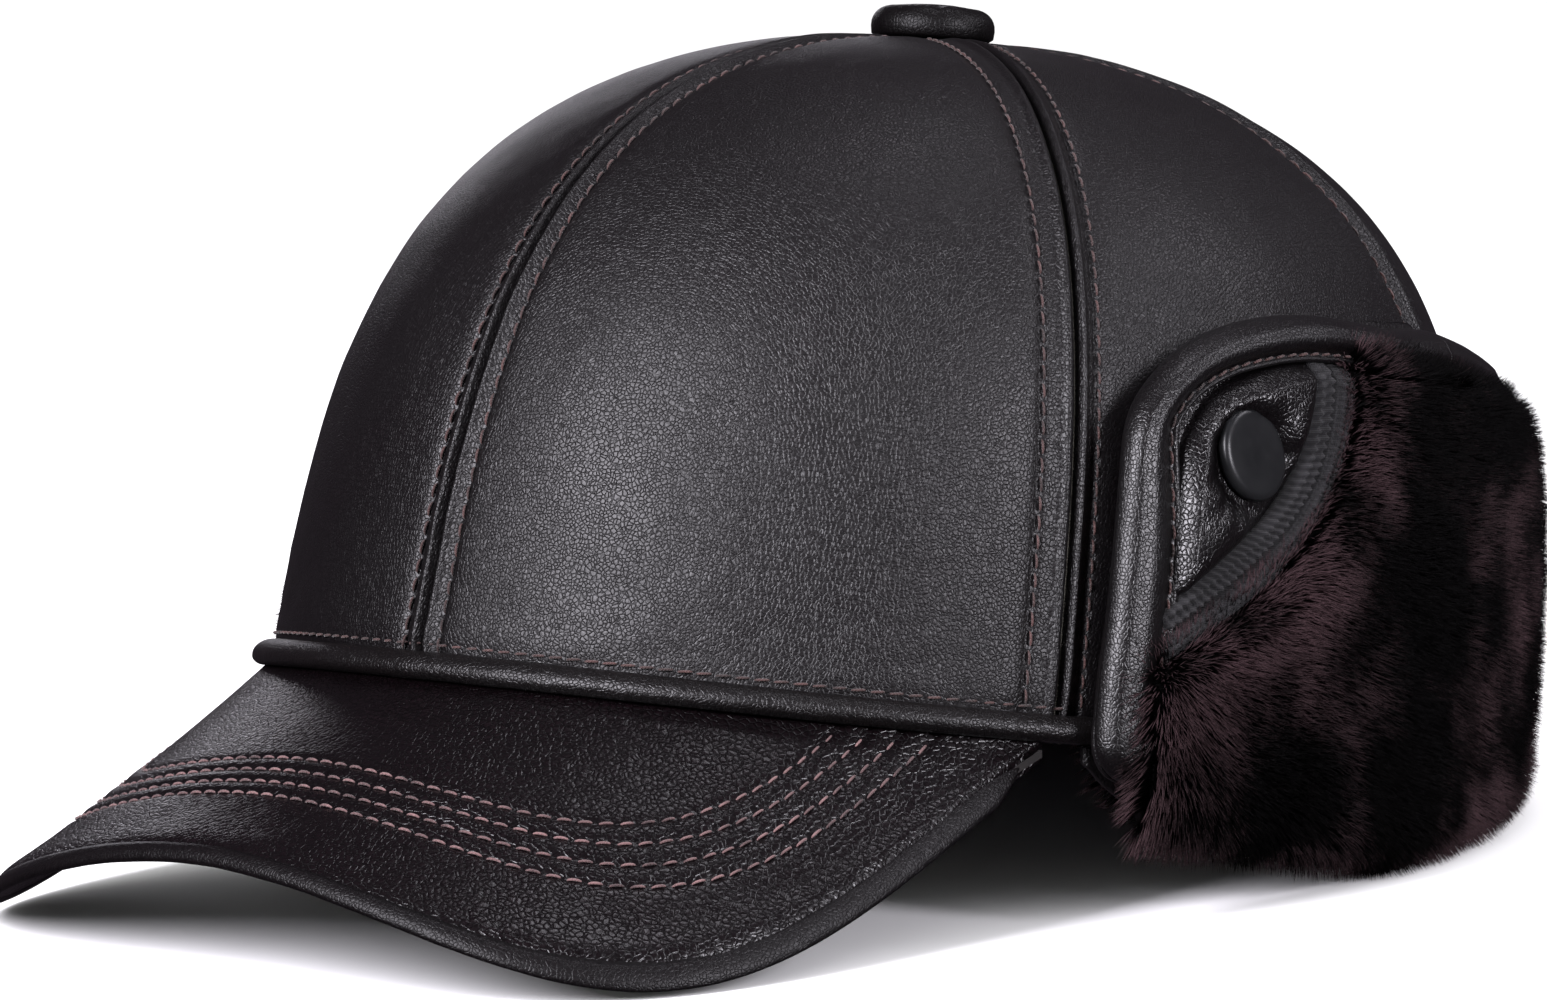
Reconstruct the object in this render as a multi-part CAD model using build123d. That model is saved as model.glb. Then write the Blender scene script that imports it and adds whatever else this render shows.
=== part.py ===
"""Leather trapper hat: six-panel crown, curved bill, and a wrap-around fur-lined flap turned up outside.

Frame: millimetres, +Z up, the bill points to -Y, the wearer's left is +X.
The hat stands on the two low sides of its bill and on the turned-up flap, so z = 0 is the table.
The real flap is one soft piece. Here it is five rigid sections, each hinged on the fold at its foot.
"""
import math
import os

from build123d import *

# ---- crown ----
half_width = 85.0        # half axis across, without the flare at the foot
half_front = 97.2        # half axis to the front
half_back = 110.8        # half axis to the back
crown_height = 112.8     # foot to apex
plan_power = 2.3         # how full the sides stand
dome_power = 3.5         # how flat the top is
flare = 0.11             # widening at the foot, as a share of the half axes
back_tuck = 0.045        # the foot drawn in again at the back
rake = 0.133             # the front of the foot stands higher than the back
foot_arch = 4.4          # the foot drops towards the sides
foot_arch_at = 93.0      # by that much at this distance from the middle
foot_z = 26.8            # height of the foot at its centre
centre_y = 10.2          # the crown's centre lies behind the middle of the whole hat
apex_shift = 23.1        # the apex lies behind the crown's centre
side_seam = 63.7         # seams, in degrees round from the front
back_seam = 117.8
seam_gap = 0.3
leather = 1.2
wadding = 2.6
lining = 0.8
apex_hole_tau = 86.0     # the panels stop here, under the button

# ---- bill ----
bill_reach = 50.7        # beyond the front of the crown's foot
bill_half = 84.2
bill_corner_y = -51.6    # where the sides of the bill meet the foot, from the crown's centre
bill_side_power = 3.24   # how square the outline is, across and ahead
bill_front_power = 3.99
bill_slope = 0.417
bill_curl = 0.0042       # droop towards the sides
bill_edge_curl = 1.4e-7
bill_drop = 0.2
bill_cover = 0.7
bill_board = 1.0
bill_rim = 1.6           # width of the edge binding
bill_gap = 0.05

# ---- flap ----
corners = (66.5, 112.0, 160.0, 200.0, 248.0, 293.5)
sections = ("left_ear", "left_rear", "neck", "right_rear", "right_ear")
hinge_off = 1.0          # hinge corners stand this far outside the foot
hinge_z = 8.2            # height of the hinge plane below the crown's centre
hinge_fall = 0.067       # the hinge plane falls towards the back
section_gap = 0.35
room_depth = 45.0        # how far a section's room reaches to both sides of its hinge
cone_depth = 30.0        # and how deep it reaches below it
free_end = 12.0          # room beyond the flap's two front ends
strip_gap = 0.06         # degrees, at each end of a length of the foot strip
shell_in = 1.8           # layers of the flap, outward from the crown
shell_out = 3.0
face_in = 3.2
binding_out = 8.0
patch_out = 8.4
tape_out = 9.0
fur_out = 13.6
face_gap = 0.2           # between the layers of an ear section's face, side by side
binding_width = 9.5
stand_off = 2.5          # the front edge of the flap stands away from the crown
flap_top_back = 73.0     # height of the flap's upper edge at the back
flap_top_rise = 20.5     # and how much higher it is over the ears

# ---- fittings ----
snap_turn = 77.9         # degrees round from the front
snap_z = 72.4
cap_radius = 7.9
cap_foot = 6.4           # outward from the crown
cap_rise = 2.9
cap_round = 1.6
post_radius = 1.4
socket_radius = 5.2
knob_radius = 2.2
knob_room = 0.4
button_radius = 10.7
button_rise = 6.2
view_z = 1.5             # height of the side-view outlines' base line

os.makedirs("parts", exist_ok=True)


def spread(first, last, count):
    """Evenly spaced numbers, both ends included."""
    return [first + (last - first) * i / (count - 1) for i in range(count)]


# ------------------------------------------------------------------ surfaces
def crown_point(phi, tau, off=0.0):
    """Point on the crown: phi degrees round from the front, tau degrees up, off outward."""
    sin_phi, cos_phi = math.sin(math.radians(phi)), math.cos(math.radians(phi))
    cos_tau = max(math.cos(math.radians(tau)), 0.0)
    sin_tau = math.sin(math.radians(tau))
    reach = cos_tau ** (2 / plan_power)
    rise = sin_tau ** (2 / dome_power)
    half_length = (half_front if cos_phi > 0 else half_back) + off
    tuck = back_tuck * (1 - rise) ** 3 * (1 - cos_phi) / 2
    scale = reach * (1 + flare * (1 - rise) - tuck)
    x = (half_width + off) * sin_phi * scale
    y = -half_length * cos_phi * scale + apex_shift * rise
    arch = foot_arch * (x / foot_arch_at) ** 2 * (1 - rise)
    z = foot_z + (crown_height + off) * rise - rake * y - arch
    return (x, y + centre_y, z)


def foot_height(phi):
    """Height of the crown's lower edge."""
    return crown_point(phi, 0.0)[2]


def wall_point(phi, z, off=0.0):
    """Point on the crown's wall at height z; below the foot the wall runs straight down."""
    low = crown_point(phi, 0.0, off)
    if z <= low[2]:
        return (low[0], low[1], z)
    below, above = 0.0, 70.0
    for _ in range(40):
        middle = (below + above) / 2
        if crown_point(phi, middle, off)[2] < z:
            below = middle
        else:
            above = middle
    return crown_point(phi, above, off)


def hinge_plane_z(y):
    return hinge_z - hinge_fall * (y - centre_y)


def fold_z(phi):
    """Lowest line of the turned-up flap: on the table at the back, rising towards its front ends."""
    ahead = max(0.0, 20.0 + centre_y - crown_point(phi, 0.0)[1])
    return 0.1 + 15.0 * (ahead / 67.0) ** 0.9


def flap_top_z(phi):
    """Upper edge of the turned-up flap, behind its ear sections."""
    turn = min(phi, 360 - phi)
    return flap_top_back + flap_top_rise * (1 + math.cos(math.radians(min(180.0, (turn - 85) * 2.5)))) / 2


def root_foot_z(phi):
    """Lower edge of what hangs from the crown, clear of the flap when that is down."""
    axis = hinge_plane_z(crown_point(phi, 0.0)[1])
    highest = foot_height(phi) - 3.0
    lowest = min(max(2 * axis - fold_z(phi), axis) + 0.8, highest)
    back_from_end = min(1.0, max(0.0, (min(phi, 360 - phi) - 67.0) / 12.0))
    return highest + (lowest - highest) * back_from_end ** 0.7


# ------------------------------------------------------------------ solids
def surface(grid):
    return Face.make_surface_from_array_of_points(grid, tol=0.005, min_deg=3, max_deg=5)


def thick_patch(outer_at, inner_at, us, vs):
    """Closed solid between two surfaces, each given as a function of u and v."""
    outer = surface([[Vector(*outer_at(u, v)) for v in vs] for u in us])
    inner = surface([[Vector(*inner_at(u, v)) for v in vs] for u in us])
    faces = [outer, inner]
    inner_edges = list(inner.edges())
    for edge in outer.edges():
        mate = min(inner_edges, key=lambda e: (e.center() - edge.center()).length)
        faces.append(Face.make_surface_from_curves(edge, mate))
    return Solid(Shell(faces))


def wall_band(phi_range, low_at, high_at, off_in, off_out, count=9, rows=6):
    """Band that follows the wall between two heights; offsets may depend on phi and share of height."""
    def at(off):
        def point(phi, share):
            z = low_at(phi) + (high_at(phi) - low_at(phi)) * share
            return wall_point(phi, z, off(phi, share) if callable(off) else off)
        return point
    return thick_patch(at(off_out), at(off_in), spread(*phi_range, count), spread(0, 1, rows))


def mirrored(shape):
    return mirror(shape, Plane.YZ)


def save(name, shape):
    export_step(shape, "parts/" + name + ".step")


# ------------------------------------------------------------------ crown
gores = {
    "front_panel_left": (0.0, side_seam),
    "side_panel_left": (side_seam, back_seam),
    "back_panel_left": (back_seam, 180.0),
}
tau_rows = (0, 4, 9, 15, 22, 30, 39, 49, 59, 69, 78)


def gore(first, last, off_out, off_in, top_tau, gap):
    """Tapered panel of the crown between two seams."""
    def edge_phi(phi, tau):
        radius = 95.0 * max(math.cos(math.radians(tau)), 0.05)
        trim = math.degrees(gap / 2 / radius)
        middle = (first + last) / 2
        return middle + (phi - middle) * (1 - 2 * trim / (last - first))

    def at(off):
        return lambda phi, tau: crown_point(edge_phi(phi, tau), tau, off)
    return thick_patch(at(off_out), at(off_in), spread(first, last, 9), (*tau_rows, top_tau))


def make_crown():
    for name, (first, last) in gores.items():
        panel = gore(first, last, 0.0, -leather, apex_hole_tau, seam_gap)
        save(name, panel)
        save(name.replace("left", "right"), mirrored(panel))
    for name, off, thickness in (
        ("crown_wadding", leather + 0.1, wadding),
        ("crown_lining", leather + wadding + 0.2, lining),
    ):
        layer = []
        for first, last in gores.values():
            piece = gore(first, last, -off, -off - thickness, apex_hole_tau, 0.2)
            layer += [piece, mirrored(piece)]
        save(name, Compound(layer))


def make_sweatband():
    inside = leather + wadding + lining + 0.8
    band = wall_band(
        (-side_seam, side_seam),
        lambda phi: foot_height(phi) + 0.5,
        lambda phi: foot_height(phi) + 32.0,
        -inside - 1.3,
        -inside,
        count=17,
    )
    save("sweatband", band)


def make_fur_cuff():
    inside = leather + wadding + lining + 1.3
    cuff = wall_band(
        (side_seam + 3.0, 360 - side_seam - 3.0),
        root_foot_z,
        lambda phi: foot_height(phi) + 30.0,
        lambda phi, share: -inside - 3.0 - 5.0 * (1 - (2 * share - 1) ** 4),
        -inside,
        count=31,
    )
    save("inner_fur_cuff", cuff)


def make_foot_strip():
    """Leather strip from the foot down to the fold, one length behind each section of the flap."""
    strip = []
    for first, last in zip(corners, corners[1:]):
        strip.append(wall_band(
            (first + strip_gap, last - strip_gap),
            root_foot_z,
            lambda phi: foot_height(phi) - 0.2,
            -leather,
            0.0,
            rows=4,
        ))
    save("flap_foot_strip", Compound(strip))


def make_welt():
    """Rolled leather welt round the front of the foot, with a cord in it."""
    def roll(radius, low, off_in):
        def low_at(phi):
            return foot_height(phi) + low

        def high_at(phi):
            return low_at(phi) + 2 * radius

        def off_out(phi, share):
            return off_in + 0.5 + radius * math.sqrt(max(0.0, 1 - (2 * share - 1) ** 2))
        return wall_band((-side_seam - 2, side_seam + 2), low_at, high_at, off_in, off_out, 17, 9)
    skin = roll(2.2, 0.1, 0.2)
    cord = roll(1.4, 0.9, 0.35)
    save("welt_cord", cord)
    save("front_welt", skin - cord)


# ------------------------------------------------------------------ bill
def bill_height(x, y):
    ahead = -(y - centre_y) - half_front * (1 + flare)
    junction = foot_z + rake * half_front * (1 + flare) - bill_drop
    return junction - bill_slope * ahead - bill_curl * x ** 2 - bill_edge_curl * x ** 4


def bill_steepness(x):
    """Length of the upper surface's normal, for unit height."""
    return math.hypot(1.0, bill_slope, 2 * bill_curl * x + 4 * bill_edge_curl * x ** 3)


def bill_outline(beta, inset):
    """Edge of the bill at beta degrees from straight ahead, a given distance inside it."""
    sin_beta, cos_beta = abs(math.sin(math.radians(beta))), abs(math.cos(math.radians(beta)))
    length = half_front * (1 + flare) + bill_reach + bill_corner_y - inset
    width = bill_half - inset
    inner, outer = 0.5, 1.5
    for _ in range(40):
        radius = (inner + outer) / 2
        if (radius * sin_beta) ** bill_side_power + (radius * cos_beta) ** bill_front_power < 1:
            inner = radius
        else:
            outer = radius
    x = math.copysign(width * radius * sin_beta, beta)
    return (x, bill_corner_y + centre_y - length * radius * cos_beta)


def bill_layer(depth, thickness, inset, rows=9):
    """Layer of the bill, from the crown's foot to the edge less an inset; depth is below its top."""
    def at(down):
        def point(beta, share):
            x_in, y_in, foot = crown_point(beta * side_seam / 90.0, 0.0, 0.4)
            x_out, y_out = bill_outline(beta, inset)
            x, y = x_in + (x_out - x_in) * share, y_in + (y_out - y_in) * share
            lift = (foot - seam_gap - bill_height(x_in, y_in)) * (1 - share) ** 3
            return (x, y, bill_height(x, y) + lift - down * (0.6 + 0.4 * bill_steepness(x)))
        return point
    return thick_patch(at(depth), at(depth + thickness), spread(-88, 88, 33), spread(0, 1, rows))


def make_bill():
    total = 2 * bill_cover + bill_board
    inset = bill_rim + 0.1
    cover = bill_cover - bill_gap
    save("bill_top_cover", bill_layer(0.0, cover, inset))
    save("bill_board", bill_layer(bill_cover, bill_board, inset))
    save("bill_under_cover", bill_layer(total - cover, cover, inset))

    def edge_at(inset):
        def point(beta, share):
            x, y = bill_outline(beta, inset)
            return (x, y, bill_height(x, y) - share * total * (0.6 + 0.4 * bill_steepness(x)))
        return point
    binding = thick_patch(edge_at(0.0), edge_at(bill_rim), spread(-86, 86, 33), spread(0, 1, 4))
    save("bill_edge_binding", binding)


# ------------------------------------------------------------------ button
def disc(frame, radius, low, high):
    """Cylinder on a plane's axis, between two heights above the plane."""
    align = (Align.CENTER, Align.CENTER, Align.MIN)
    return frame * Pos(0, 0, low) * Cylinder(radius, high - low, align=align)


def rim_of(shape, frame):
    """The circle that lies highest above a plane."""
    circles = shape.edges().filter_by(GeomType.CIRCLE)
    return max(circles, key=lambda edge: frame.to_local_coords(edge.center()).Z)


def make_button():
    """Leather-covered button riveted through the apex, square to the raked crown."""
    apex = crown_point(0, 90)
    frame = Plane(origin=apex, x_dir=(1, 0, 0), z_dir=(0, rake, 1))

    foot = 0.15
    core = disc(frame, button_radius - 1.2, foot, button_rise - 1.2)
    core = fillet(rim_of(core, frame), 2.8)
    cover = disc(frame, button_radius, foot, button_rise)
    cover = fillet(rim_of(cover, frame), 4.0) - core
    rivet = disc(frame, 1.6, -8.0, foot - 0.05) + disc(frame, 6.0, -8.0, -7.0)
    save("button_core", core)
    save("button_cover", cover)
    save("button_rivet", rivet)


# ------------------------------------------------------------------ flap
hinge_frame = Plane(
    origin=(0, centre_y, hinge_z),
    x_dir=(1, 0, 0),
    z_dir=(0, hinge_fall, 1),
)


def hinge_corner(phi):
    """Where two sections' hinges meet, on the hinge plane just outside the foot."""
    x, y, _ = crown_point(phi, 0.0, hinge_off)
    return Vector(x, y, hinge_plane_z(y))


def flat(point):
    local = hinge_frame.to_local_coords(point)
    return Vector(local.X, local.Y, 0)


def end_tangent(index, neighbour):
    """Tangent of half the turn from a section to its neighbour; the flap's free ends have none."""
    if not 0 <= neighbour < len(sections):
        return None

    def chord(i):
        return flat(hinge_corner(corners[i + 1])) - flat(hinge_corner(corners[i]))
    return math.tan(math.radians(chord(index).get_angle(chord(neighbour))) / 2)


def section_room(index):
    """Room of one section, whose ends are cut so that it clears its neighbours at every angle of the fold.

    Above the hinge the ends lean back to both sides of the hinge line.
    Below it they are cones round that line.
    """
    first, last = flat(hinge_corner(corners[index])), flat(hinge_corner(corners[index + 1]))
    along = (last - first).normalized()
    out = Vector(along.Y, -along.X, 0)
    length = (last - first).length
    tangents = end_tangent(index, index - 1), end_tangent(index, index + 1)

    def cut(tangent, away):
        """How far an end stands back from its corner, at a distance from the hinge line."""
        return -free_end if tangent is None else section_gap / 2 + away * tangent

    front = [first + along * cut(tangents[0], abs(n)) + out * n for n in (-room_depth, 0, room_depth)]
    back = [last - along * cut(tangents[1], abs(n)) + out * n for n in (room_depth, 0, -room_depth)]
    outline = make_face(Polyline(*[(p.X, p.Y) for p in front + back], close=True))
    above = extrude(hinge_frame * outline, 120)
    below = extrude(hinge_frame * outline, -40)
    profile = Polyline(
        (cut(tangents[0], 0), 0),
        (cut(tangents[0], cone_depth), cone_depth),
        (length - cut(tangents[1], cone_depth), cone_depth),
        (length - cut(tangents[1], 0), 0),
        close=True,
    )
    line = Plane(hinge_frame.location * Plane(origin=first, x_dir=along, z_dir=out).location)
    cones = revolve(line * make_face(profile), Axis(line.origin, line.x_dir))
    return above + (below & cones)


# Side-view lines of the ear section, from the crown's centre: flap edge, binding's inner edge, and tape.
edge_line = ((-45.0, 6.0), (-43.8, 37.0), (-41.3, 46.0), (-35.6, 67.0), (-30.5, 79.5),
             (-21.4, 86.8), (-11.1, 90.6), (0.0, 92.0), (12.8, 91.9), (26.3, 90.0),
             (39.5, 87.2), (49.4, 84.3), (62.0, 80.4))
inner_line = ((-37.5, 6.0), (-35.1, 35.4), (-32.6, 47.2), (-28.6, 63.4), (-23.2, 74.3), (-16.1, 80.4),
              (-9.0, 82.9), (0.0, 84.2), (12.0, 83.6), (27.8, 80.8), (40.0, 77.8), (62.0, 71.4))
tape_inner_line = ((12.6, 88.0), (10.0, 81.8), (6.1, 74.2), (1.2, 67.5), (-6.4, 61.5), (-14.8, 57.0),
                   (-25.0, 52.0), (-45.0, 43.0))
tape_outer_line = ((22.5, 88.0), (20.0, 80.3), (16.5, 73.9), (11.0, 66.6), (3.1, 59.0), (-7.3, 52.0),
                   (-17.7, 47.1), (-45.0, 35.0))


def region(line, *closing):
    """Prism along X bounded by a smooth side-view line and straight closing points."""
    points = [(y + centre_y, z + view_z) for y, z in line]
    ends = [(y + centre_y, z + view_z) for y, z in closing]
    curve = Spline(*points)
    wire = curve + Polyline(points[-1], *ends, points[0])
    face = make_face(wire)
    return extrude(Plane((40, 0, 0), x_dir=(0, 1, 0), z_dir=(1, 0, 0)) * face, 90)


def section_range(index):
    margin = 2.0
    return (corners[index] - margin, corners[index + 1] + margin)


def edge_lift(phi):
    """The flap's front ends stand away from the crown."""
    turn = min(phi, 360 - phi)
    return stand_off * max(0.0, (86.0 - turn) / 20.0) ** 1.5


def flap_slab(index, off_in, off_out, low_at=fold_z, high_at=flap_top_z, rows=9):
    """Curved slab of one section before its outline is cut."""
    def lifted(off):
        def value(phi, share):
            base = off(phi, share) if callable(off) else off
            return base + edge_lift(phi)
        return value
    band = wall_band(section_range(index), low_at, high_at, lifted(off_in), lifted(off_out), 13, rows)
    return band & section_room(index)


def ear_high(phi):
    """Above the whole ear section, so that its outline alone trims it."""
    return 96.0


def snap_frame():
    """Plane on the crown under the snap, facing outward."""
    def wall_vector(turn, z):
        return Vector(*wall_point(turn, z))
    here = wall_vector(snap_turn, snap_z)
    across = wall_vector(snap_turn + 2, snap_z) - wall_vector(snap_turn - 2, snap_z)
    upward = wall_vector(snap_turn, snap_z + 3) - wall_vector(snap_turn, snap_z - 3)
    return Plane(origin=here, x_dir=across, z_dir=across.cross(upward))


def snap_disc(radius, low, high):
    return disc(snap_frame(), radius, low, high)


def make_snap():
    """Press stud: knob on the crown, socket and cap on the flap."""
    lift = edge_lift(snap_turn)
    room = shell_in + lift
    knob = snap_disc(socket_radius, 0.05, 0.6) + snap_disc(knob_radius, 0.05, room - 0.3)
    socket = snap_disc(socket_radius, 0.95, room - 0.25)
    socket -= snap_disc(knob_radius + knob_room, 0.5, room - 0.1)
    foot = cap_foot + lift
    cap = snap_disc(cap_radius, foot, foot + cap_rise)
    cap = fillet(rim_of(cap, snap_frame()), cap_round)
    cap += snap_disc(post_radius, room + 0.1, foot + 0.5)
    return {"snap_stud_left": knob, "left_ear_snap_socket": socket, "left_ear_snap_cap": cap}


def fur_swell(phi, share):
    return face_in + 4.0 + (fur_out - face_in - 4.0) * (1 - abs(2 * share - 1) ** 6)


def one(shape):
    """The single largest solid of a cut shape."""
    return sorted(shape.solids(), key=lambda s: s.volume)[-1]


def make_rear_section(index):
    """Leather, fur and rolled edge binding of a section behind the ears."""
    def binding_foot(phi):
        return flap_top_z(phi) - binding_width

    def fur_top(phi):
        return binding_foot(phi) - 0.3

    def roll(phi, share):
        return face_in + 2.0 + (binding_out - face_in - 2.0) * (1 - abs(2 * share - 1) ** 4)
    name = sections[index]
    return {
        name + "_leather": one(flap_slab(index, shell_in, shell_out)),
        name + "_fur": one(flap_slab(index, face_in, fur_swell, high_at=fur_top)),
        name + "_binding": one(flap_slab(index, face_in, roll, low_at=binding_foot)),
    }


def moved(line):
    """A side-view line shifted down and back by the gap between two layers of the face."""
    return tuple((y + face_gap, z - face_gap) for y, z in line)


def make_ear_section(index):
    """Ear section: leather, rolled binding, padded snap patch, tape and fur, fitted edge to edge."""
    def slab(off_in, off_out, high_at=ear_high):
        return flap_slab(index, off_in, off_out, high_at=high_at)
    name = sections[index]
    foot = ((62.0, -2.0), (-45.0, -2.0))
    above = (-45.0, 100.0)
    edge = region(edge_line, *foot)
    inside = region(inner_line, (62.0, -2.0), (-37.5, -2.0))
    field = region(moved(inner_line), (62.0, -2.0), (-37.3, -2.0))
    post_hole = snap_disc(post_radius + 0.1, 0.0, 20.0)
    cap_hole = snap_disc(cap_radius + 0.4, cap_foot + edge_lift(snap_turn) - 0.1, 20.0)
    shell = slab(shell_in, shell_out) & edge - post_hole
    binding = (slab(face_in, binding_out) & edge) - inside
    patch = one(slab(face_in, patch_out) & field & region(tape_inner_line, above))
    tape = slab(face_in, tape_out) & field & region(tape_outer_line, above)
    fur = slab(face_in, fur_swell, high_at=lambda phi: 88.0) & field
    return {
        name + "_leather": one(shell),
        name + "_binding": one(binding),
        name + "_snap_patch": one(patch - post_hole - cap_hole),
        name + "_tape": one(tape - region(moved(tape_inner_line), above)),
        name + "_fur": one(fur - region(moved(tape_outer_line), above)),
    }


if __name__ == "__main__":
    make_crown()
    make_sweatband()
    make_fur_cuff()
    make_foot_strip()
    make_welt()
    make_bill()
    make_button()
    for name, solid in make_snap().items():
        save(name, solid)
        save(name.replace("left", "right"), mirrored(solid))
    for index in (0, 1, 2):
        pieces = make_ear_section(index) if index == 0 else make_rear_section(index)
        for name, solid in pieces.items():
            save(name, solid)
            if index < 2:
                save(name.replace("left", "right"), mirrored(solid))
    for index, name in enumerate(sections):
        a, b = hinge_corner(corners[index]), hinge_corner(corners[index + 1])
        print(name, "hinge", a, (b - a).normalized())
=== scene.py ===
import itertools
import math

import bpy
import numpy as np
from mathutils import Matrix


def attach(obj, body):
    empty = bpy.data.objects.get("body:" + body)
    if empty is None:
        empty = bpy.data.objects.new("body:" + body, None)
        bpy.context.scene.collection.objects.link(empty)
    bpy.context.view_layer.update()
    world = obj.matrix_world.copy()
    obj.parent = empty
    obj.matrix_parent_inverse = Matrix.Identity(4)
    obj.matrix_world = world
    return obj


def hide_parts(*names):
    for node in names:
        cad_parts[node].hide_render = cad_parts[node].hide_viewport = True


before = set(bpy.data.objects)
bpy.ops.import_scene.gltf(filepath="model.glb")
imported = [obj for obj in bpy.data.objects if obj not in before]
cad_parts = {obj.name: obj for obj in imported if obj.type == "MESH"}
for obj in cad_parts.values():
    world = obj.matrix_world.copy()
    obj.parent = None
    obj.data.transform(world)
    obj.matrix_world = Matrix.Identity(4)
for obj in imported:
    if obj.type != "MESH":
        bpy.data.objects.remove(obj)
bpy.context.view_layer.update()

mm = 0.001
looks = {}               # materials by name; most have the name of the slot they fill

# ---- crown: the same shape as the CAD panels ----
half_width = 85.0
half_front = 97.2
half_back = 110.8
crown_height = 112.8
plan_power = 2.3
dome_power = 3.5
flare = 0.11
back_tuck = 0.045
rake = 0.133
foot_arch = 4.4
foot_arch_at = 93.0
foot_z = 26.8
centre_y = 10.2
apex_shift = 23.1
side_seam = 63.7
back_seam = 117.8
leather = 1.2
crown_reach = half_front * (1 + flare)      # from the crown's centre to the foot of its front

# ---- bill ----
bill_reach = 50.7
bill_half = 84.2
bill_corner_y = -51.6
bill_side_power = 3.24
bill_front_power = 3.99
bill_slope = 0.417
bill_curl = 0.0042
bill_edge_curl = 1.4e-7
bill_drop = 0.2
bill_thick = 2.4
bill_rim = 1.7
bill_rows = 4
bill_row_side = 9.7      # inset of the outermost stitch row, at the side and ahead
bill_row_front = 17.0
bill_row_side_step = 3.0
bill_row_front_step = 3.37

# ---- flap ----
corners = (66.5, 112.0, 160.0, 200.0, 248.0, 293.5)
sections = ("left_ear", "left_rear", "neck", "right_rear", "right_ear")
shell_in = 1.8
shell_out = 3.0
face_in = 3.2
fur_out = 13.6
pile = 7.0
root_shade_tone = 0.3          # how brown the roots and the backing of the fur are painted: painted shade deep in the pile, near black
binding_width = 9.5
stand_off = 2.5
hinge_z = 8.2
hinge_fall = 0.067
view_z = 1.5             # height of the base line of the side-view lines below
view_off = 5.0           # how far outside the crown those lines lie
snap_turn = 77.9
cap_turn = 79.4          # the cap sits slightly behind its stud
cap_z = 71.2
cap_radius = 7.7
button_radius = 10.7
button_rise = 6.2

# Side-view lines of the ear section, y from the crown's centre and z from the base line.
edge_line = ((-31.0, 20.5), (-38.0, 20.6), (-43.6, 22.8), (-46.0, 27.5), (-44.9, 33.5), (-43.4, 40.0),
             (-41.3, 47.0), (-35.6, 67.0), (-30.5, 79.5), (-21.4, 86.8), (-11.1, 90.6), (0.0, 92.0),
             (12.8, 91.9), (26.3, 90.0), (39.5, 87.2))
inner_line = ((-37.5, 6.0), (-35.1, 35.4), (-32.6, 47.2), (-28.6, 63.4), (-23.2, 74.3), (-16.1, 80.4),
              (-9.0, 82.9), (0.0, 84.2), (12.0, 83.6), (27.8, 80.8), (40.0, 77.8), (62.0, 71.4))
tape_inner_line = ((12.6, 88.0), (10.0, 81.8), (6.1, 74.2), (1.2, 67.5), (-6.4, 61.5), (-14.8, 57.0),
                   (-25.0, 52.0), (-38.0, 45.8))
tape_outer_line = ((22.5, 88.0), (20.0, 80.3), (16.5, 73.9), (11.0, 66.6), (3.1, 59.0), (-7.3, 52.0),
                   (-17.7, 47.1), (-38.0, 38.6))


# ------------------------------------------------------------------ surfaces
def crown(phi, tau, off=0.0):
    """Points on the crown: phi degrees round from the front, tau degrees up, off outward."""
    phi, tau, off = np.broadcast_arrays(*(np.asarray(v, float) for v in (phi, tau, off)))
    sin_phi, cos_phi = np.sin(np.radians(phi)), np.cos(np.radians(phi))
    reach = np.clip(np.cos(np.radians(tau)), 0, 1) ** (2 / plan_power)
    rise = np.clip(np.sin(np.radians(tau)), 0, 1) ** (2 / dome_power)
    half_length = np.where(cos_phi > 0, half_front, half_back) + off
    tuck = back_tuck * (1 - rise) ** 3 * (1 - cos_phi) / 2
    scale = reach * (1 + flare * (1 - rise) - tuck)
    x = (half_width + off) * sin_phi * scale
    y = -half_length * cos_phi * scale + apex_shift * rise
    arch = foot_arch * (x / foot_arch_at) ** 2 * (1 - rise)
    z = foot_z + (crown_height + off) * rise - rake * y - arch
    return np.stack((x, y + centre_y, z), -1)


def foot_height(phi):
    return crown(phi, 0.0)[..., 2]


def narrow(low, high, short_of, steps):
    """Halve the gap between two bounds again and again, towards where short_of stops being true."""
    for _ in range(steps):
        middle = (low + high) / 2
        short = short_of(middle)
        low, high = np.where(short, middle, low), np.where(short, high, middle)
    return low, high


def wall(phi, z, off=0.0):
    """Points on the crown's wall at height z; below the foot the wall runs straight down."""
    phi, z, off = np.broadcast_arrays(*(np.asarray(v, float) for v in (phi, z, off)))
    bounds = np.zeros(phi.shape), np.full(phi.shape, 70.0)
    tau = narrow(*bounds, lambda middle: crown(phi, middle, off)[..., 2] < z, 34)[1]
    points = crown(phi, tau, off)
    foot = crown(phi, 0.0, off)
    under = z <= foot[..., 2]
    points[under] = foot[under]
    points[..., 2] = np.where(under, z, points[..., 2])
    return points


def turn_at(y, z, off=0.0):
    """Degrees round from the front where the left wall has this side-view place."""
    y, z = np.broadcast_arrays(np.asarray(y, float) + centre_y, np.asarray(z, float))
    bounds = np.full(y.shape, 1.0), np.full(y.shape, 179.0)
    return sum(narrow(*bounds, lambda middle: wall(middle, z, off)[..., 1] < y, 30)) / 2


def folded(phi):
    """Degrees from the front, the same for left and right."""
    return np.minimum(np.abs(phi), 360 - np.abs(phi))


def fold_z(phi):
    ahead = np.maximum(0.0, 20.0 + centre_y - crown(phi, 0.0)[..., 1])
    return 0.1 + 15.0 * (ahead / 67.0) ** 0.9


def fold_below(y):
    """Height of the fold below a side-view place."""
    return fold_z(turn_at(y, 5.0))


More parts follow.
